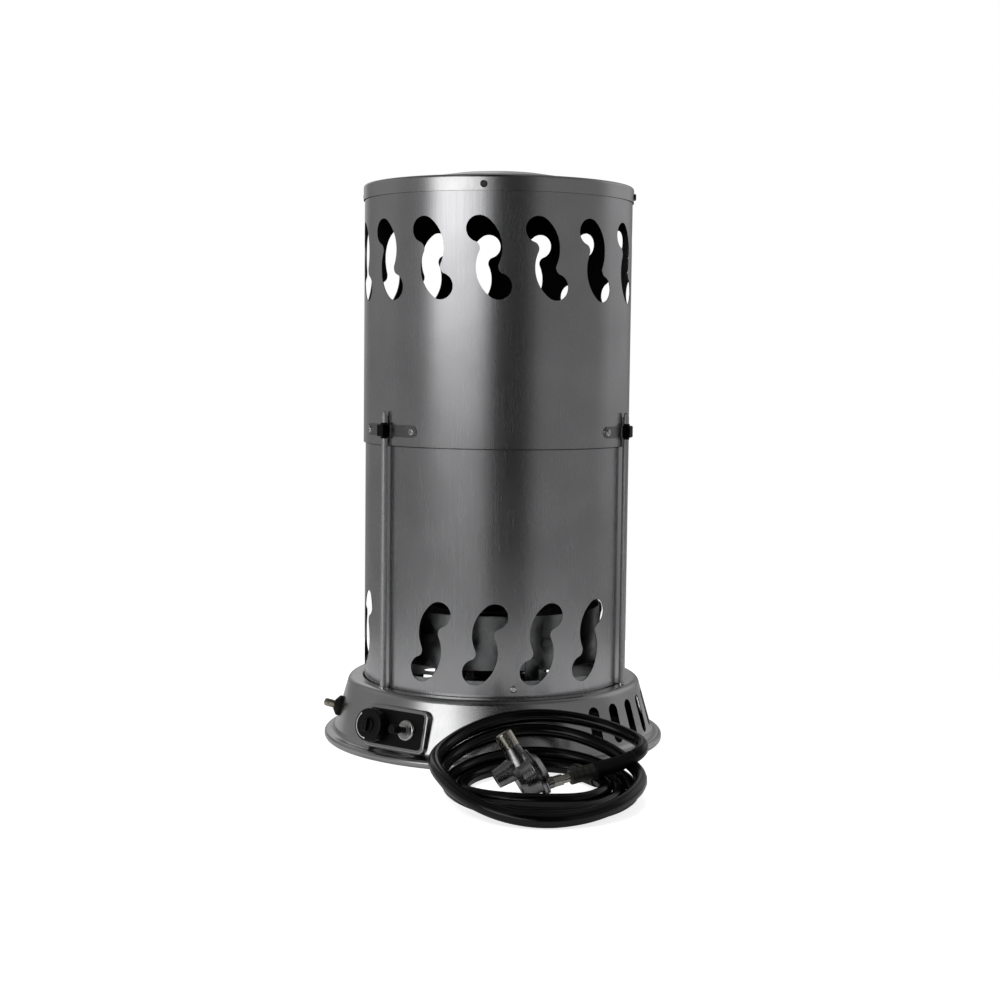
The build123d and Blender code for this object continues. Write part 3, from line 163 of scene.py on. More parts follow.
def metres(point):
    """A point of the drawing, in metres."""
    return Vector(point) / 1000


def placed(origin, along, up, out):
    """Matrix that carries a local frame, in metres, to its place."""
    columns = [Vector(along), Vector(up), Vector(out), metres(origin)]
    return Matrix([[columns[c][r] for c in range(4)] for r in range(3)] + [[0, 0, 0, 1]])


def linear(colour):
    """Linear colour of an sRGB hex value."""
    parts = [int(colour[k:k + 2], 16) / 255 for k in (1, 3, 5)]
    return [c / 12.92 if c <= 0.04045 else ((c + 0.055) / 1.055) ** 2.4 for c in parts] + [1.0]


def add_node(tree, kind, settings=None, inputs=None):
    """Adds a node, sets its properties and sets or links its inputs."""
    node = tree.nodes.new(kind)
    for name, value in (settings or {}).items():
        setattr(node, name, value)
    for name, value in (inputs or {}).items():
        if isinstance(value, bpy.types.NodeSocket):
            tree.links.new(value, node.inputs[name])
        else:
            node.inputs[name].default_value = value
    return node


def new_mesh(name, vertices, faces, smooth=True):
    """Mesh object at the origin."""
    mesh = bpy.data.meshes.new(name)
    mesh.from_pydata([tuple(v) for v in vertices], [], faces)
    mesh.validate()
    for polygon in mesh.polygons:
        polygon.use_smooth = smooth
    obj = bpy.data.objects.new(name, mesh)
    bpy.context.scene.collection.objects.link(obj)
    return obj


def realised(name, tree, values, matrix, material):
    """Evaluates a geometry node tree into a plain mesh at its place."""
    holder = bpy.data.objects.new(name + "_maker", bpy.data.meshes.new(name + "_maker"))
    bpy.context.scene.collection.objects.link(holder)
    modifier = holder.modifiers.new("make", "NODES")
    modifier.node_group = tree
    for item in tree.interface.items_tree:
        if item.item_type == "SOCKET" and item.in_out == "INPUT" and item.name in values:
            modifier[item.identifier] = values[item.name]
    evaluated = holder.evaluated_get(bpy.context.evaluated_depsgraph_get())
    mesh = bpy.data.meshes.new_from_object(evaluated)
    mesh.name = name
    holder.modifiers.remove(modifier)
    bpy.data.objects.remove(holder)
    mesh.transform(matrix)
    mesh.materials.clear()
    mesh.materials.append(material)
    for polygon in mesh.polygons:
        polygon.material_index = 0
    obj = bpy.data.objects.new(name, mesh)
    bpy.context.scene.collection.objects.link(obj)
    return obj


def new_tree(name, sockets):
    """Geometry node tree with named inputs for its sizes, and its input and output nodes."""
    tree = bpy.data.node_groups.new(name, "GeometryNodeTree")
    tree.interface.new_socket("Geometry", in_out="INPUT", socket_type="NodeSocketGeometry")
    tree.interface.new_socket("Geometry", in_out="OUTPUT", socket_type="NodeSocketGeometry")
    for title, kind in sockets:
        tree.interface.new_socket(title, in_out="INPUT", socket_type=kind)
    return tree, tree.nodes.new("NodeGroupInput"), tree.nodes.new("NodeGroupOutput")


# ------------------------------------------------------------------ finishes


def new_material(name):
    """Material with a principled shader, and the shader."""
    material = bpy.data.materials.new(name)
    material.use_nodes = True
    return material, material.node_tree, material.node_tree.nodes["Principled BSDF"]


def pattern(tree, size_mm, stretch=(1, 1, 1), detail=2.0):
    """Noise on object coordinates whose grains are a given size in millimetres, drawn out along an axis."""
    place = add_node(tree, "ShaderNodeTexCoord").outputs["Object"]
    scale = [1000 / size_mm / s for s in stretch]
    place = add_node(tree, "ShaderNodeMapping", None, {"Vector": place, "Scale": scale}).outputs["Vector"]
    return add_node(tree, "ShaderNodeTexNoise", None,
                    {"Vector": place, "Scale": 1.0, "Detail": detail}).outputs[0]


def ranged(tree, value, low, high):
    """Noise brought to a range."""
    return add_node(tree, "ShaderNodeMapRange", None,
                    {"Value": value, "From Min": 0.25, "From Max": 0.75,
                     "To Min": low, "To Max": high}).outputs[0]


def toned(tree, value, dark, light):
    """Noise turned into a colour between two tones."""
    ramp = add_node(tree, "ShaderNodeValToRGB", None, {"Fac": value})
    ramp.color_ramp.elements[0].position = 0.3
    ramp.color_ramp.elements[1].position = 0.7
    ramp.color_ramp.elements[0].color = linear(dark)
    ramp.color_ramp.elements[1].color = linear(light)
    return ramp.outputs[0]


def bumped(tree, value, strength, depth_mm):
    """Fine relief of a real depth in millimetres."""
    return add_node(tree, "ShaderNodeBump", None,
                    {"Height": value, "Strength": strength, "Distance": depth_mm / 1000}).outputs[0]


def level_place(tree):
    """Place on the level plane, so that its length is the distance from the heater's axis."""
    place = add_node(tree, "ShaderNodeTexCoord").outputs["Object"]
    return add_node(tree, "ShaderNodeVectorMath", {"operation": "MULTIPLY"},
                    {0: place, 1: (1, 1, 0)}).outputs[0]


def facing_out(tree):
    """1 on a drum's outer skin and its flat rims, 0 on the side that faces the drum's axis or the floor."""
    away = add_node(tree, "ShaderNodeVectorMath", {"operation": "NORMALIZE"}, {0: level_place(tree)}).outputs[0]
    lifted = add_node(tree, "ShaderNodeVectorMath", {"operation": "ADD"}, {0: away, 1: (0, 0, 1)}).outputs[0]
    normal = add_node(tree, "ShaderNodeNewGeometry").outputs["Normal"]
    side = add_node(tree, "ShaderNodeVectorMath", {"operation": "DOT_PRODUCT"},
                    {0: lifted, 1: normal}).outputs["Value"]
    return add_node(tree, "ShaderNodeMapRange", None,
                    {"Value": side, "From Min": -0.3, "From Max": 0.0, "To Min": 0.0, "To Max": 1.0}).outputs[0]


def blended(tree, share, first, second):
    """First colour at 0, second at 1."""
    mix = add_node(tree, "ShaderNodeMix", {"data_type": "RGBA"}, {0: share})
    for socket, value in ((mix.inputs[6], first), (mix.inputs[7], second)):
        if isinstance(value, bpy.types.NodeSocket):
            tree.links.new(value, socket)
        else:
            socket.default_value = value
    return mix.outputs[2]


def off_painted_seam_shadow(tree):
    """1 on clean sheet, 0 on the narrow painted shadow line under the upper drum's edge."""
    place = add_node(tree, "ShaderNodeTexCoord").outputs["Object"]
    height = add_node(tree, "ShaderNodeSeparateXYZ", None, {"Vector": place}).outputs["Z"]
    middle = (SEAM_HEIGHT - SEAM_SHADOW_WIDTH / 2) / 1000
    away = add_node(tree, "ShaderNodeMath", {"operation": "SUBTRACT"}, {0: height, 1: middle}).outputs[0]
    away = add_node(tree, "ShaderNodeMath", {"operation": "ABSOLUTE"}, {0: away}).outputs[0]
    return add_node(tree, "ShaderNodeMapRange", None,
                    {"Value": away, "From Min": SEAM_SHADOW_WIDTH * 0.3 / 1000,
                     "From Max": SEAM_SHADOW_WIDTH * 0.5 / 1000}).outputs[0]


def rolled_steel(name, dark, light, low, high, streak, painted_inside_shade="#1d1c1b", painted_seam_shadow=False):
    """Cold rolled sheet: soft upright streaks in the reflection, faint cloudiness, painted shade on the side
    that faces the axis or the floor, and when asked a painted shadow line under the seam.
    """
    material, tree, shader = new_material(name)
    streaks = pattern(tree, 1.6, (1, 1, streak))
    clouds = pattern(tree, 60)
    outer = facing_out(tree)
    shader.inputs["Metallic"].default_value = 1.0
    clean = toned(tree, clouds, dark, light)
    if painted_seam_shadow:
        # Painted shade: a thin dark line on the lower drum just under the upper drum's edge.
        clean = blended(tree, off_painted_seam_shadow(tree), linear("#565553"), clean)
    # Painted shade: dark colour on the side that faces the drum's axis or the floor.
    tree.links.new(blended(tree, outer, linear(painted_inside_shade), clean), shader.inputs["Base Color"])
    gloss = add_node(tree, "ShaderNodeMapRange", None,
                     {"Value": outer, "To Min": 0.6, "To Max": ranged(tree, streaks, low, high)}).outputs[0]
    tree.links.new(gloss, shader.inputs["Roughness"])
    tree.links.new(bumped(tree, streaks, 0.01, 0.03), shader.inputs["Normal"])
    return material


def strap_sheet(name, dark, light, low, high, black):
    """Strap sheet with its raised bridge black where the rod's clip sits in it."""
    material, tree, shader = new_material(name)
    reach = add_node(tree, "ShaderNodeVectorMath", {"operation": "LENGTH"},
                     {0: level_place(tree)}).outputs["Value"]
    raised = add_node(tree, "ShaderNodeMapRange", None,
                      {"Value": reach, "From Min": (STRAP_RADIUS + 0.5) / 1000,
                       "From Max": (STRAP_RADIUS + 1.1) / 1000}).outputs[0]
    grain = pattern(tree, 1.6, (6, 6, 1))
    shader.inputs["Metallic"].default_value = 1.0
    colour = blended(tree, raised, toned(tree, grain, dark, light), linear(black))
    tree.links.new(colour, shader.inputs["Base Color"])
    tree.links.new(ranged(tree, grain, low, high), shader.inputs["Roughness"])
    return material


def plated_steel(name, dark, light, low, high):
    """Bright zinc plated hardware: small, slightly mottled, with the plating's soft sparkle."""
    material, tree, shader = new_material(name)
    mottle = pattern(tree, 2.5)
    shader.inputs["Metallic"].default_value = 1.0
    tree.links.new(toned(tree, mottle, dark, light), shader.inputs["Base Color"])
    tree.links.new(ranged(tree, mottle, low, high), shader.inputs["Roughness"])
    return material


def spangled_zinc(name, dark, light):
    """Hot dip galvanised sheet: zinc crystals, each with its own tone and gloss."""
    material, tree, shader = new_material(name)
    place = add_node(tree, "ShaderNodeTexCoord").outputs["Object"]
    cells = add_node(tree, "ShaderNodeTexVoronoi", None,
                     {"Vector": place, "Scale": 1000 / SPANGLE_SIZE}).outputs["Color"]
    tone = add_node(tree, "ShaderNodeSeparateColor", None, {"Color": cells}).outputs[0]
    shader.inputs["Metallic"].default_value = 1.0
    tree.links.new(toned(tree, tone, dark, light), shader.inputs["Base Color"])
    tree.links.new(ranged(tree, tone, 0.32, 0.5), shader.inputs["Roughness"])
    return material


def cast_metal(name, dark, light, metallic, low, high, grain):
    """As-cast metal: sandy skin with a shallow grain and uneven gloss."""
    material, tree, shader = new_material(name)
    skin = pattern(tree, grain, detail=4.0)
    patches = pattern(tree, 14)
    shader.inputs["Metallic"].default_value = metallic
    tree.links.new(toned(tree, patches, dark, light), shader.inputs["Base Color"])
    tree.links.new(ranged(tree, skin, low, high), shader.inputs["Roughness"])
    tree.links.new(bumped(tree, skin, 0.35, 0.15), shader.inputs["Normal"])
    return material


def turned_brass(name, dark, light, low, high):
    """Turned fitting: a bright skin that is unevenly marked, in patches about 2 mm across."""
    material, tree, shader = new_material(name)
    marks = pattern(tree, 2.1)
    shader.inputs["Metallic"].default_value = 1.0
    tree.links.new(toned(tree, marks, dark, light), shader.inputs["Base Color"])
    tree.links.new(ranged(tree, marks, low, high), shader.inputs["Roughness"])
    tree.links.new(bumped(tree, marks, 0.12, 0.05), shader.inputs["Normal"])
    return material


def moulded(name, dark, light, low, high, grain, relief, specular=0.5):
    """Moulded rubber, plastic or enamel: one deep tone with a fine skin and softly uneven gloss."""
    material, tree, shader = new_material(name)
    skin = pattern(tree, grain, detail=3.0)
    shader.inputs["Specular IOR Level"].default_value = specular
    tree.links.new(toned(tree, skin, dark, light), shader.inputs["Base Color"])
    tree.links.new(ranged(tree, skin, low, high), shader.inputs["Roughness"])
    tree.links.new(bumped(tree, skin, relief, 0.08), shader.inputs["Normal"])
    return material


def make_finishes():
    """One finish for each material slot of the record, and one more for the straps."""
    return {
        # Bright rolled drum sheet, mirror-like with soft edges to what it reflects, with a painted shadow line
        # under the seam.
        "bright_steel": rolled_steel("bright_rolled_steel", "#b2b2b4", "#bebec0", 0.25, 0.28, 40, painted_seam_shadow=True),
        # Pressed and polished base and cap, a little brighter than the drum.
        "polished_steel": rolled_steel("polished_pressed_steel", "#b6b6b6", "#c2c2c3", 0.23, 0.27, 6),
        "galvanised_steel": spangled_zinc("galvanised_sheet", "#909293", "#a8aaab"),
        # Stainless disc with the brown-grey tint of heat.
        "stainless_steel": plated_steel("heat_tinted_stainless", "#8f8a86", "#aaa6a2", 0.25, 0.4),
        "plated_screws": plated_steel("zinc_plated_hardware", "#c6c6c4", "#dadad8", 0.14, 0.26),
        "plated_rod": plated_steel("zinc_plated_rod", "#bcbcbd", "#cececf", 0.42, 0.52),
        "dark_screws": plated_steel("black_oxide_hardware", "#3a3a3a", "#4a4a4a", 0.25, 0.4),
        "blackened_spring": moulded("black_oxide_clip", "#080808", "#0e0e0e", 0.35, 0.5, 1.5, 0.1, 0.12),
        "spring_steel": plated_steel("drawn_spring_wire", "#8c8c8e", "#a0a0a2", 0.2, 0.35),
        "cast_iron": cast_metal("cast_iron_burner", "#3c3b3a", "#4b4a48", 0.6, 0.5, 0.7, 1.2),
        "brass": turned_brass("nickel_plated_brass", "#bdb9ac", "#d0ccc0", 0.18, 0.3),
        # Crimp sleeve of plated brass, dark all over.
        "brass_ferrule": moulded("dark_crimp_sleeve", "#141413", "#24231f", 0.3, 0.45, 1.2, 0.1),
        "copper_lead": turned_brass("copper_capillary", "#a8714f", "#bd8763", 0.28, 0.42),
        "valve_casting": cast_metal("die_cast_valve", "#9a9a9c", "#adadaf", 1.0, 0.35, 0.5, 0.9),
        "regulator_casting": cast_metal("die_cast_regulator", "#8c8c8d", "#a8a8a9", 1.0, 0.2, 0.3, 1.4),
        "aluminium_tube": plated_steel("drawn_aluminium_tube", "#b4b4b6", "#c6c6c8", 0.25, 0.38),
        # Strap sheet, duller than the drum it is riveted to.
        "strap_steel": strap_sheet("pressed_strap_steel", "#868688", "#949496", 0.3, 0.38, "#0c0c0c"),
        "black_enamel": moulded("satin_black_enamel", "#040404", "#070707", 0.35, 0.45, 3.0, 0.05, 0.25),
        "black_plastic": moulded("moulded_phenolic", "#030303", "#060606", 0.3, 0.42, 1.5, 0.08, 0.3),
        "black_rubber": moulded("moulded_rubber", "#050505", "#0a0a0a", 0.5, 0.62, 0.8, 0.2, 0.25),
        # Extruded rubber hose: deep black, smooth enough for a thin bright line along its top.
        "hose_rubber": moulded("extruded_hose_rubber", "#020202", "#040404", 0.15, 0.21, 1.2, 0.05, 0.35),
    }


FINISHES = {}


def finish_for(slot):
    """The finish of a slot, made on first use."""
    if not FINISHES:
        FINISHES.update(make_finishes())
    return FINISHES[slot]


# ------------------------------------------------------------------ sizes a user would change


class HeaterStageSizes(bpy.types.PropertyGroup):
    floor_size: bpy.props.FloatProperty(
        name="Floor size", description="Width of the pale floor", default=1.5, unit="LENGTH")
    room_radius: bpy.props.FloatProperty(
        name="Room radius", description="Radius of the grey room that bright metal reflects", default=3.2,
        unit="LENGTH")
    room_height: bpy.props.FloatProperty(
        name="Room height", description="Height of that room's wall", default=5.0, unit="LENGTH")
    floor_colour: bpy.props.StringProperty(
        name="Floor colour", description="Colour of the floor as an sRGB hex value", default="#c4c4c4")
    floor_glow: bpy.props.FloatProperty(
        name="Floor glow", description="How much the floor is lifted towards white for the camera", default=0.8)


class HeaterHoseSizes(bpy.types.PropertyGroup):
    diameter: bpy.props.FloatProperty(
        name="Hose diameter", description="Outside diameter of the hose", default=0.0125, unit="LENGTH")
    length: bpy.props.FloatProperty(
        name="Hose length", description="Length of the hose between its ferrules", default=2.27, unit="LENGTH")
    sleeve_length: bpy.props.FloatProperty(
        name="Sleeve length", description="Length of the bend protector at the regulator", default=0.042,
        unit="LENGTH")
    sleeve_wall: bpy.props.FloatProperty(
        name="Sleeve wall", description="Wall of the bend protector where it starts", default=0.0016,
        unit="LENGTH")


class HeaterHardwareSizes(bpy.types.PropertyGroup):
    thread_pitch: bpy.props.FloatProperty(
        name="Thread pitch", description="Distance between the ridges of the inlet's thread", default=0.00106,
        unit="LENGTH")
    thread_radius: bpy.props.FloatProperty(
        name="Thread radius", description="Radius of the inlet's thread", default=0.00397, unit="LENGTH")
    thread_count: bpy.props.IntProperty(
        name="Thread ridges", description="How many ridges show on the inlet's thread", default=8)
    screw_radius: bpy.props.FloatProperty(
        name="Clip screw radius", description="Radius of the small screws beside the rod clips", default=0.0017,
        unit="LENGTH")
    mark_radius: bpy.props.FloatProperty(
        name="Mark radius", description="Radius of the pale arc on the knob", default=0.0139, unit="LENGTH")
    mark_width: bpy.props.FloatProperty(
        name="Mark width", description="Width of the pale arc on the knob", default=0.0009, unit="LENGTH")


# ------------------------------------------------------------------ stage


def make_camera():
    """Camera in front of the heater, a little above it and looking slightly down."""
    yaw, pitch, roll = radians(CAMERA_YAW), radians(CAMERA_PITCH), radians(CAMERA_ROLL)
    ahead = Vector((sin(yaw) * cos(pitch), cos(yaw) * cos(pitch), -sin(pitch)))
    level = Vector((cos(yaw), -sin(yaw), 0))
    upright = level.cross(ahead)
    right = level * cos(roll) + upright * sin(roll)
    up = upright * cos(roll) - level * sin(roll)
    data = bpy.data.cameras.new("camera")
    data.sensor_width = 36.0
    data.lens = CAMERA_LENS
    camera = bpy.data.objects.new("camera", data)
    bpy.context.scene.collection.objects.link(camera)
    camera.matrix_world = placed(CAMERA_PLACE, right, up, -ahead)
    bpy.context.scene.camera = camera


def make_world():
    """White to the camera and in clear reflections, and an even soft light on everything."""
    world = bpy.data.worlds.new("white_room")
    bpy.context.scene.world = world
    world.use_nodes = True
    tree = world.node_tree
    tree.nodes.clear()
    path = add_node(tree, "ShaderNodeLightPath").outputs
    seen = add_node(tree, "ShaderNodeMath", {"operation": "MAXIMUM"},
                    {0: path["Is Camera Ray"], 1: path["Is Glossy Ray"]})
    seen = add_node(tree, "ShaderNodeMath", {"operation": "MAXIMUM"},
                    {0: seen.outputs[0], 1: path["Is Transmission Ray"]})
    light = add_node(tree, "ShaderNodeBackground", None, {"Color": linear("#ffffff"), "Strength": 0.5})
    white = add_node(tree, "ShaderNodeBackground", None, {"Color": linear("#ffffff"), "Strength": 1.0})
    mixed = add_node(tree, "ShaderNodeMixShader", None,
                     {0: seen.outputs[0], 1: light.outputs[0], 2: white.outputs[0]})
    add_node(tree, "ShaderNodeOutputWorld", None, {"Surface": mixed.outputs[0]})


def make_floor(sizes):
    """Plain pale floor that reads white and keeps a faint shadow, painted dark as shade under the base."""
    half = sizes.floor_size / 2
    steps = 64
    ring = [(half * cos(2 * pi * k / steps), half * sin(2 * pi * k / steps) - FLOOR_FORWARD, 0)
            for k in range(steps)]
    floor = new_mesh("floor", ring, [list(range(steps))])
    material, tree, shader = new_material("pale_floor")
    shader.inputs["Roughness"].default_value = 0.9
    shader.inputs["Specular IOR Level"].default_value = 0.1
    path = add_node(tree, "ShaderNodeLightPath").outputs["Is Camera Ray"]
    place = add_node(tree, "ShaderNodeTexCoord").outputs["Object"]
    reach = add_node(tree, "ShaderNodeVectorMath", {"operation": "LENGTH"}, {0: place}).outputs["Value"]
    outside = add_node(tree, "ShaderNodeMath", {"operation": "GREATER_THAN"},
                       {0: reach, 1: BASE_SHADE}).outputs[0]
    # Painted shade: the floor is dark where the base covers it, and gets no glow there.
    colour = blended(tree, outside, linear("#202020"), linear(sizes.floor_colour))
    tree.links.new(colour, shader.inputs["Base Color"])
    level = add_node(tree, "ShaderNodeMath", {"operation": "MULTIPLY"}, {0: path, 1: outside}).outputs[0]
    level = add_node(tree, "ShaderNodeMath", {"operation": "MULTIPLY"},
                     {0: level, 1: sizes.floor_glow}).outputs[0]
    glow = add_node(tree, "ShaderNodeEmission", None, {"Color": linear("#ffffff"), "Strength": level})
    whole = add_node(tree, "ShaderNodeAddShader", None, {0: shader.outputs[0], 1: glow.outputs[0]})
    tree.links.new(whole.outputs[0], tree.nodes["Material Output"].inputs["Surface"])
    floor.data.materials.append(material)


def room_light(tree, turn, centre, half_width, low, high, strength):
    """Upright strip of light on the room's wall, soft at its sides, whose strength changes with the height."""
    away = add_node(tree, "ShaderNodeMath", {"operation": "SUBTRACT"}, {0: turn, 1: radians(centre)}).outputs[0]
    away = add_node(tree, "ShaderNodeMath", {"operation": "ABSOLUTE"}, {0: away}).outputs[0]
    side = add_node(tree, "ShaderNodeMapRange", {"interpolation_type": "SMOOTHSTEP"},
                    {"Value": away, "From Min": radians(half_width * STRIP_CORE),
                     "From Max": radians(half_width), "To Min": 1.0, "To Max": 0.0}).outputs[0]
    place = add_node(tree, "ShaderNodeTexCoord").outputs["Object"]
    height = add_node(tree, "ShaderNodeSeparateXYZ", None, {"Vector": place}).outputs["Z"]
    level = add_node(tree, "ShaderNodeMapRange", None,
                     {"Value": height, "From Min": low, "From Max": high, "To Min": strength[0],
                      "To Max": strength[1]}).outputs[0]
    return add_node(tree, "ShaderNodeMath", {"operation": "MULTIPLY"}, {0: side, 1: level}).outputs[0]


def make_room(sizes):
    """Grey studio wall with soft upright lights and a dark gap, seen only in reflections."""
    steps = 96
    vertices = []
    for z in (ROOM_BOTTOM, sizes.room_height):
        for k in range(steps):
            turn = 2 * pi * k / steps
            vertices.append((sizes.room_radius * sin(turn), -sizes.room_radius * cos(turn), z))
    faces = [[k, (k + 1) % steps, steps + (k + 1) % steps, steps + k] for k in range(steps)]
    faces.append([steps + k for k in range(steps)][::-1])
    room = new_mesh("room_wall", vertices, faces, smooth=False)
    material = bpy.data.materials.new("room_wall")
    material.use_nodes = True
    tree = material.node_tree
    tree.nodes.clear()
    place = add_node(tree, "ShaderNodeTexCoord").outputs["Object"]
    parts = add_node(tree, "ShaderNodeSeparateXYZ", None, {"Vector": place}).outputs
    front = add_node(tree, "ShaderNodeMath", {"operation": "MULTIPLY"}, {0: parts["Y"], 1: -1.0}).outputs[0]
    turn = add_node(tree, "ShaderNodeMath", {"operation": "ARCTAN2"}, {0: parts["X"], 1: front}).outputs[0]
    total = ROOM_LIGHT
    for centre, half_width, bottom, top, strength in ROOM_STRIPS:
        strip = room_light(tree, turn, centre, half_width, bottom, top, strength)
        total = add_node(tree, "ShaderNodeMath", {"operation": "ADD"}, {0: total, 1: strip}).outputs[0]
    total = add_node(tree, "ShaderNodeMath", {"operation": "MAXIMUM"},
                     {0: total, 1: ROOM_DARKEST}).outputs[0]
    dimmed = add_node(tree, "ShaderNodeMapRange", None,
                      {"Value": parts["Z"], "From Min": DIM_START, "From Max": DIM_END,
                       "To Min": 1.0, "To Max": DIM_SHARE})
    total = add_node(tree, "ShaderNodeMath", {"operation": "MULTIPLY"},
                     {0: total, 1: dimmed.outputs[0]}).outputs[0]
    glow = add_node(tree, "ShaderNodeEmission", None, {"Strength": total})
    add_node(tree, "ShaderNodeOutputMaterial", None, {"Surface": glow.outputs[0]})
    room.data.materials.append(material)
    room.visible_camera = False
    room.visible_diffuse = False
    room.visible_transmission = False
    room.visible_shadow = False


def add_lamp(name, place, aim, size, power):
    """Square soft lamp aimed at a point."""
    data = bpy.data.lights.new(name, "AREA")
    data.size = size
    data.energy = power
    lamp = bpy.data.objects.new(name, data)
    bpy.context.scene.collection.objects.link(lamp)
    way = Vector(aim) - Vector(place)
    lamp.matrix_world = Matrix.Translation(place) @ way.to_track_quat("-Z", "Y").to_matrix().to_4x4()
    lamp.visible_glossy = False


class HEATER_OT_stage(bpy.types.Operator):
    """Set up the camera, floor, room and lamps"""

    bl_idname = "heater.stage"
    bl_label = "Stage"

    def execute(self, context):
        sizes = context.scene.heater_stage
        context.scene.view_settings.view_transform = "Standard"
        make_camera()
        make_world()
        make_floor(sizes)
        make_room(sizes)
        for lamp in LAMPS:
            add_lamp(*lamp)
        return {"FINISHED"}


# ------------------------------------------------------------------ frame finishes


class HEATER_OT_finishes(bpy.types.Operator):
    """Give every piece of the frame the finish of its material slot"""

    bl_idname = "heater.finishes"
    bl_label = "Finishes"

    def execute(self, context):
        for part in frame["record"]["subparts"]:
            obj = frame["nodes"][part["node"]]
            is_strap = part["node"].startswith("rod_strap")
            material = finish_for("strap_steel" if is_strap else part["material_slot"])
            if not obj.material_slots:
                obj.data.materials.append(material)
            for place in obj.material_slots:
                place.material = material
        return {"FINISHED"}


# ------------------------------------------------------------------ hose


def quarter(start, end, swings):
    """Control points of a quarter of a loose turn; swings says whether it leaves its start along Y."""
    points = []
    for k in range(QUARTER_STEPS):
        turn = pi / 2 * k / QUARTER_STEPS
        rise = (1 - cos(pi * k / QUARTER_STEPS)) / 2
        out, over = (1 - cos(turn), sin(turn)) if swings else (sin(turn), 1 - cos(turn))
        x = start[0] + (end[0] - start[0]) * out
        y = start[1] + (end[1] - start[1]) * over
        points.append((x, y, start[2] + (end[2] - start[2]) * rise))
    return points


def coil_points():
    """Control points of all the loose turns, from the regulator's side to the nut's."""
    ends = [point for turn in TURNS for point in turn]
    points = []
    for k, (start, end) in enumerate(zip(ends, ends[1:])):
        points += quarter(start, end, k % 2 == 0)
    return points + [ends[-1]]


def smooth_spline(name, points):
    """Open curve with smooth bends that passes near its control points."""
    curve = bpy.data.curves.new(name, "CURVE")
    curve.dimensions = "3D"
    spline = curve.splines.new("NURBS")
    spline.points.add(len(points) - 1)
    for place, point in zip(spline.points, points):
        place.co = (*metres(point), 1.0)
    spline.order_u = 3
    spline.use_endpoint_u = True
    spline.resolution_u = 8
    obj = bpy.data.objects.new(name, curve)
    bpy.context.scene.collection.objects.link(obj)
    return obj


def line_of(points):
    """Points along the hose's own line."""
    guide = smooth_spline("hose_guide", points)
    guide.data.splines[0].resolution_u = 24
    mesh = bpy.data.meshes.new_from_object(guide.evaluated_get(bpy.context.evaluated_depsgraph_get()))
    line = [v.co.copy() for v in mesh.vertices]
    bpy.data.objects.remove(guide)
    return line


def ring_round(frame_of, thick, sides):
    """Ring of points of a given radius, square to the hose at one place along it."""
    point, side, up = frame_of
    turns = [2 * pi * k / sides for k in range(sides)]
    return [point + (side * cos(turn) + up * sin(turn)) * thick for turn in turns]


def sleeve_mesh(name, line, length, radius, wall):
    """Bend protector round the start of the hose, thinning towards its free end."""
    walked = [0.0]
    for before, after in zip(line, line[1:]):
        walked.append(walked[-1] + (after - before).length)
    rings = 20
    sides = 24
    path = []
    for ring in range(rings + 1):
        at = length * ring / rings
        k = min(max(j for j, w in enumerate(walked) if w <= at), len(line) - 2)
        share = (at - walked[k]) / max(walked[k + 1] - walked[k], 1e-9)
        path.append(line[k].lerp(line[k + 1], share))
    level = Vector((0, 0, 1))
    places = []
    for ring, point in enumerate(path):
        way = (path[min(ring + 1, rings)] - path[max(ring - 1, 0)]).normalized()
        side = way.cross(level).normalized()
        places.append((point, side, side.cross(way)))
    inner = radius * SLEEVE_BORE
    rows = [ring_round(places[0], inner, sides)]
    for ring, place in enumerate(places):
        thick = radius + wall * (1 - SLEEVE_TAPER * ring / rings)
        if ring in (0, rings):
            thick -= wall * SLEEVE_EDGE
        rows.append(ring_round(place, thick, sides))
    rows.append(ring_round(places[-1], inner, sides))
    vertices = [vertex for row in rows for vertex in row]
    faces = []
    for r in range(len(rows) - 1):
        for k in range(sides):
            n = (k + 1) % sides
            faces.append([r * sides + k, r * sides + n, (r + 1) * sides + n, (r + 1) * sides + k])
    faces.append(list(range(sides))[::-1])
    faces.append([(len(rows) - 1) * sides + k for k in range(sides)])
    return new_mesh(name, vertices, faces)


class HEATER_OT_hose(bpy.types.Operator):
    """Lay the loose hose in front of the heater, with its bend protector"""

    bl_idname = "heater.hose"
    bl_label = "Hose"

    def execute(self, context):
        sizes = context.scene.heater_hose
        points = REGULATOR_END + coil_points() + NUT_END
        hose = smooth_spline("hose", points)
        hose.data.bevel_depth = sizes.diameter / 2
        hose.data.bevel_resolution = 6
        hose.data.use_fill_caps = True
        hose.data.materials.append(finish_for("hose_rubber"))
        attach(hose, "heater")
        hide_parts("hose_coil", "hose_regulator_run", "hose_nut_run")
        sleeve = sleeve_mesh("hose_sleeve", line_of(points), sizes.sleeve_length, sizes.diameter / 2,
                             sizes.sleeve_wall)
        sleeve.data.materials.append(finish_for("black_rubber"))
        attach(sleeve, "heater")
        return {"FINISHED"}


# ------------------------------------------------------------------ small hardware


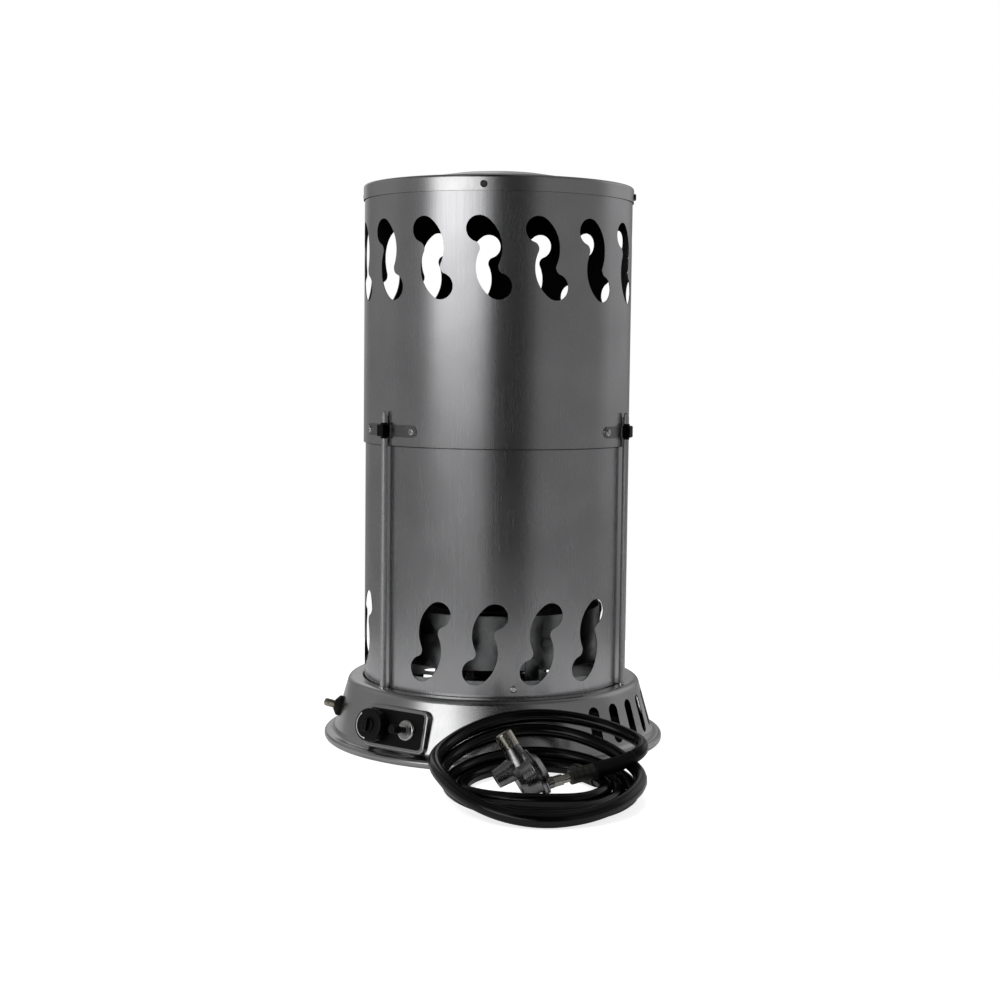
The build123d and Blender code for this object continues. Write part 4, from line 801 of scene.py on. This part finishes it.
def thread_tree(material):
    """Ridges of a thread: rings of a small round section, a pitch apart."""
    tree, given, result = new_tree("thread_ridges", [
        ("Radius", "NodeSocketFloat"), ("Ridge", "NodeSocketFloat"), ("Pitch", "NodeSocketFloat"),
        ("Count", "NodeSocketInt")])
    ring = add_node(tree, "GeometryNodeCurvePrimitiveCircle", None,
                    {"Resolution": 32, "Radius": given.outputs["Radius"]})
    section = add_node(tree, "GeometryNodeCurvePrimitiveCircle", None,
                       {"Resolution": 6, "Radius": given.outputs["Ridge"]})
    ridge = add_node(tree, "GeometryNodeCurveToMesh", None,
                     {"Curve": ring.outputs["Curve"], "Profile Curve": section.outputs["Curve"]})
    step = add_node(tree, "ShaderNodeCombineXYZ", None, {"Z": given.outputs["Pitch"]})
    places = add_node(tree, "GeometryNodeMeshLine", None,
                      {"Count": given.outputs["Count"], "Offset": step.outputs[0]})
    copies = add_node(tree, "GeometryNodeInstanceOnPoints", None,
                      {"Points": places.outputs["Mesh"], "Instance": ridge.outputs["Mesh"]})
    real = add_node(tree, "GeometryNodeRealizeInstances", None, {"Geometry": copies.outputs[0]})
    dressed = add_node(tree, "GeometryNodeSetMaterial", None,
                       {"Geometry": real.outputs[0], "Material": material})
    tree.links.new(dressed.outputs[0], result.inputs[0])
    return tree


class HEATER_OT_inlet_thread(bpy.types.Operator):
    """Cut the ridges of the thread on the gas inlet"""

    bl_idname = "heater.inlet_thread"
    bl_label = "Inlet thread"

    def execute(self, context):
        sizes = context.scene.heater_hardware
        material = finish_for("brass")
        ridge = sizes.thread_pitch * THREAD_RIDGE
        along_axis = Matrix.Translation((0, 0, INLET_THREAD_START / 1000))
        matrix = placed(INLET_ORIGIN, INLET_ALONG, INLET_UP, INLET_OUT) @ along_axis
        thread = realised("inlet_thread", thread_tree(material), {
            "Radius": sizes.thread_radius, "Ridge": ridge, "Pitch": sizes.thread_pitch,
            "Count": sizes.thread_count}, matrix, material)
        for polygon in thread.data.polygons:
            polygon.use_smooth = True
        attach(thread, "heater")
        return {"FINISHED"}


def screw_tree(material):
    """Three small domed screw heads, one at each strap."""
    tree, given, result = new_tree("clip_screws", [
        ("Head radius", "NodeSocketFloat"), ("Circle radius", "NodeSocketFloat")])
    head = add_node(tree, "GeometryNodeMeshUVSphere", None,
                    {"Segments": 20, "Rings": 12, "Radius": given.outputs["Head radius"]})
    low = add_node(tree, "GeometryNodeTransform", None,
                   {"Geometry": head.outputs["Mesh"], "Scale": (0.55, 1.0, 1.0)})
    smooth = add_node(tree, "GeometryNodeSetShadeSmooth", None, {"Geometry": low.outputs[0]})
    places = add_node(tree, "GeometryNodeMeshCircle", None,
                      {"Vertices": 3, "Radius": given.outputs["Circle radius"]})
    place = add_node(tree, "GeometryNodeInputPosition").outputs[0]
    facing = add_node(tree, "FunctionNodeAlignEulerToVector", {"axis": "X"}, {"Vector": place})
    copies = add_node(tree, "GeometryNodeInstanceOnPoints", None,
                      {"Points": places.outputs["Mesh"], "Instance": smooth.outputs[0],
                       "Rotation": facing.outputs[0]})
    real = add_node(tree, "GeometryNodeRealizeInstances", None, {"Geometry": copies.outputs[0]})
    dressed = add_node(tree, "GeometryNodeSetMaterial", None,
                       {"Geometry": real.outputs[0], "Material": material})
    tree.links.new(dressed.outputs[0], result.inputs[0])
    return tree


class HEATER_OT_clip_screws(bpy.types.Operator):
    """Set the small dark screws beside the rod clips"""

    bl_idname = "heater.clip_screws"
    bl_label = "Clip screws"

    def execute(self, context):
        sizes = context.scene.heater_hardware
        material = finish_for("dark_screws")
        tree = screw_tree(material)
        for name, beside in (("left", -CLIP_SCREW_ANGLE), ("right", CLIP_SCREW_ANGLE)):
            turn = Matrix.Rotation(radians(ROD_AZIMUTH + beside - 90), 4, "Z")
            matrix = Matrix.Translation((0, 0, STRAP_HEIGHT / 1000)) @ turn
            screws = realised("clip_screws_" + name, tree, {
                "Head radius": sizes.screw_radius, "Circle radius": STRAP_RADIUS / 1000}, matrix, material)
            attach(screws, "upper_drum")
        return {"FINISHED"}


def arc_strip(radius, width, thick, start, end, height):
    """Thin raised strip along an arc, with a round spot at each end."""
    steps = 48
    vertices = []
    for k in range(steps + 1):
        angle = radians(start + (end - start) * k / steps)
        for r in (radius - width / 2, radius + width / 2):
            for z in (height, height + thick):
                vertices.append((r * cos(angle), r * sin(angle), z))
    faces = []
    for k in range(steps):
        a = 4 * k
        b = a + 4
        faces += [[a + 1, a + 3, b + 3, b + 1], [a, b, b + 2, a + 2],
                  [a, a + 1, b + 1, b], [a + 2, b + 2, b + 3, a + 3]]
    faces += [[0, 2, 3, 1], [4 * steps, 4 * steps + 1, 4 * steps + 3, 4 * steps + 2]]
    for angle in (radians(start), radians(end)):
        centre = (radius * cos(angle), radius * sin(angle))
        base = len(vertices)
        sides = 16
        for z in (height, height + thick * 1.3):
            for k in range(sides):
                turn = 2 * pi * k / sides
                vertices.append((centre[0] + width * cos(turn), centre[1] + width * sin(turn), z))
        faces += [[base + k, base + (k + 1) % sides, base + sides + (k + 1) % sides, base + sides + k]
                  for k in range(sides)]
        faces += [[base + k for k in range(sides)][::-1], [base + sides + k for k in range(sides)]]
    return vertices, faces


class HEATER_OT_knob_mark(bpy.types.Operator):
    """Print the plain pale arc on the knob's skirt"""

    bl_idname = "heater.knob_mark"
    bl_label = "Knob mark"

    def execute(self, context):
        sizes = context.scene.heater_hardware
        vertices, faces = arc_strip(sizes.mark_radius, sizes.mark_width, MARK_THICK / 1000, MARK_START,
                                    MARK_END, (KNOB_SKIRT_TOP - MARK_SINK) / 1000)
        mark = new_mesh("knob_mark", vertices, faces, smooth=False)
        mark.data.transform(placed(PANEL_ORIGIN, PANEL_ALONG, PANEL_UP, PANEL_OUT)
                            @ Matrix.Translation((KNOB_PLACE / 1000, 0, 0)))
        # Pad printed ink: pale, flat and slightly worn.
        mark.data.materials.append(moulded("pad_printed_ink", "#b8b8b6", "#d8d8d6", 0.5, 0.6, 0.6, 0.05))
        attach(mark, "knob")
        return {"FINISHED"}


# ------------------------------------------------------------------ panel and registration


class HEATER_PT_panel(bpy.types.Panel):
    """Lists the heater's pieces"""

    bl_idname = "HEATER_PT_panel"
    bl_label = "Heater"
    bl_space_type = "VIEW_3D"
    bl_region_type = "UI"
    bl_category = "Heater"

    def draw(self, context):
        for step in STEPS:
            self.layout.operator(step.bl_idname)
        for group in (context.scene.heater_stage, context.scene.heater_hose, context.scene.heater_hardware):
            for name in group.__annotations__:
                self.layout.prop(group, name)


STEPS = (HEATER_OT_stage, HEATER_OT_finishes, HEATER_OT_hose, HEATER_OT_inlet_thread, HEATER_OT_clip_screws,
         HEATER_OT_knob_mark)
CLASSES = (HeaterStageSizes, HeaterHoseSizes, HeaterHardwareSizes) + STEPS + (HEATER_PT_panel,)


def register():
    for kind in CLASSES:
        bpy.utils.register_class(kind)
    bpy.types.Scene.heater_stage = bpy.props.PointerProperty(type=HeaterStageSizes)
    bpy.types.Scene.heater_hose = bpy.props.PointerProperty(type=HeaterHoseSizes)
    bpy.types.Scene.heater_hardware = bpy.props.PointerProperty(type=HeaterHardwareSizes)


def unregister():
    del bpy.types.Scene.heater_stage
    del bpy.types.Scene.heater_hose
    del bpy.types.Scene.heater_hardware
    for kind in reversed(CLASSES):
        bpy.utils.unregister_class(kind)


def main():
    register()
    bpy.ops.heater.stage()
    bpy.ops.heater.finishes()
    bpy.ops.heater.hose()
    bpy.ops.heater.inlet_thread()
    bpy.ops.heater.clip_screws()
    bpy.ops.heater.knob_mark()


if __name__ == "__main__":
    main()
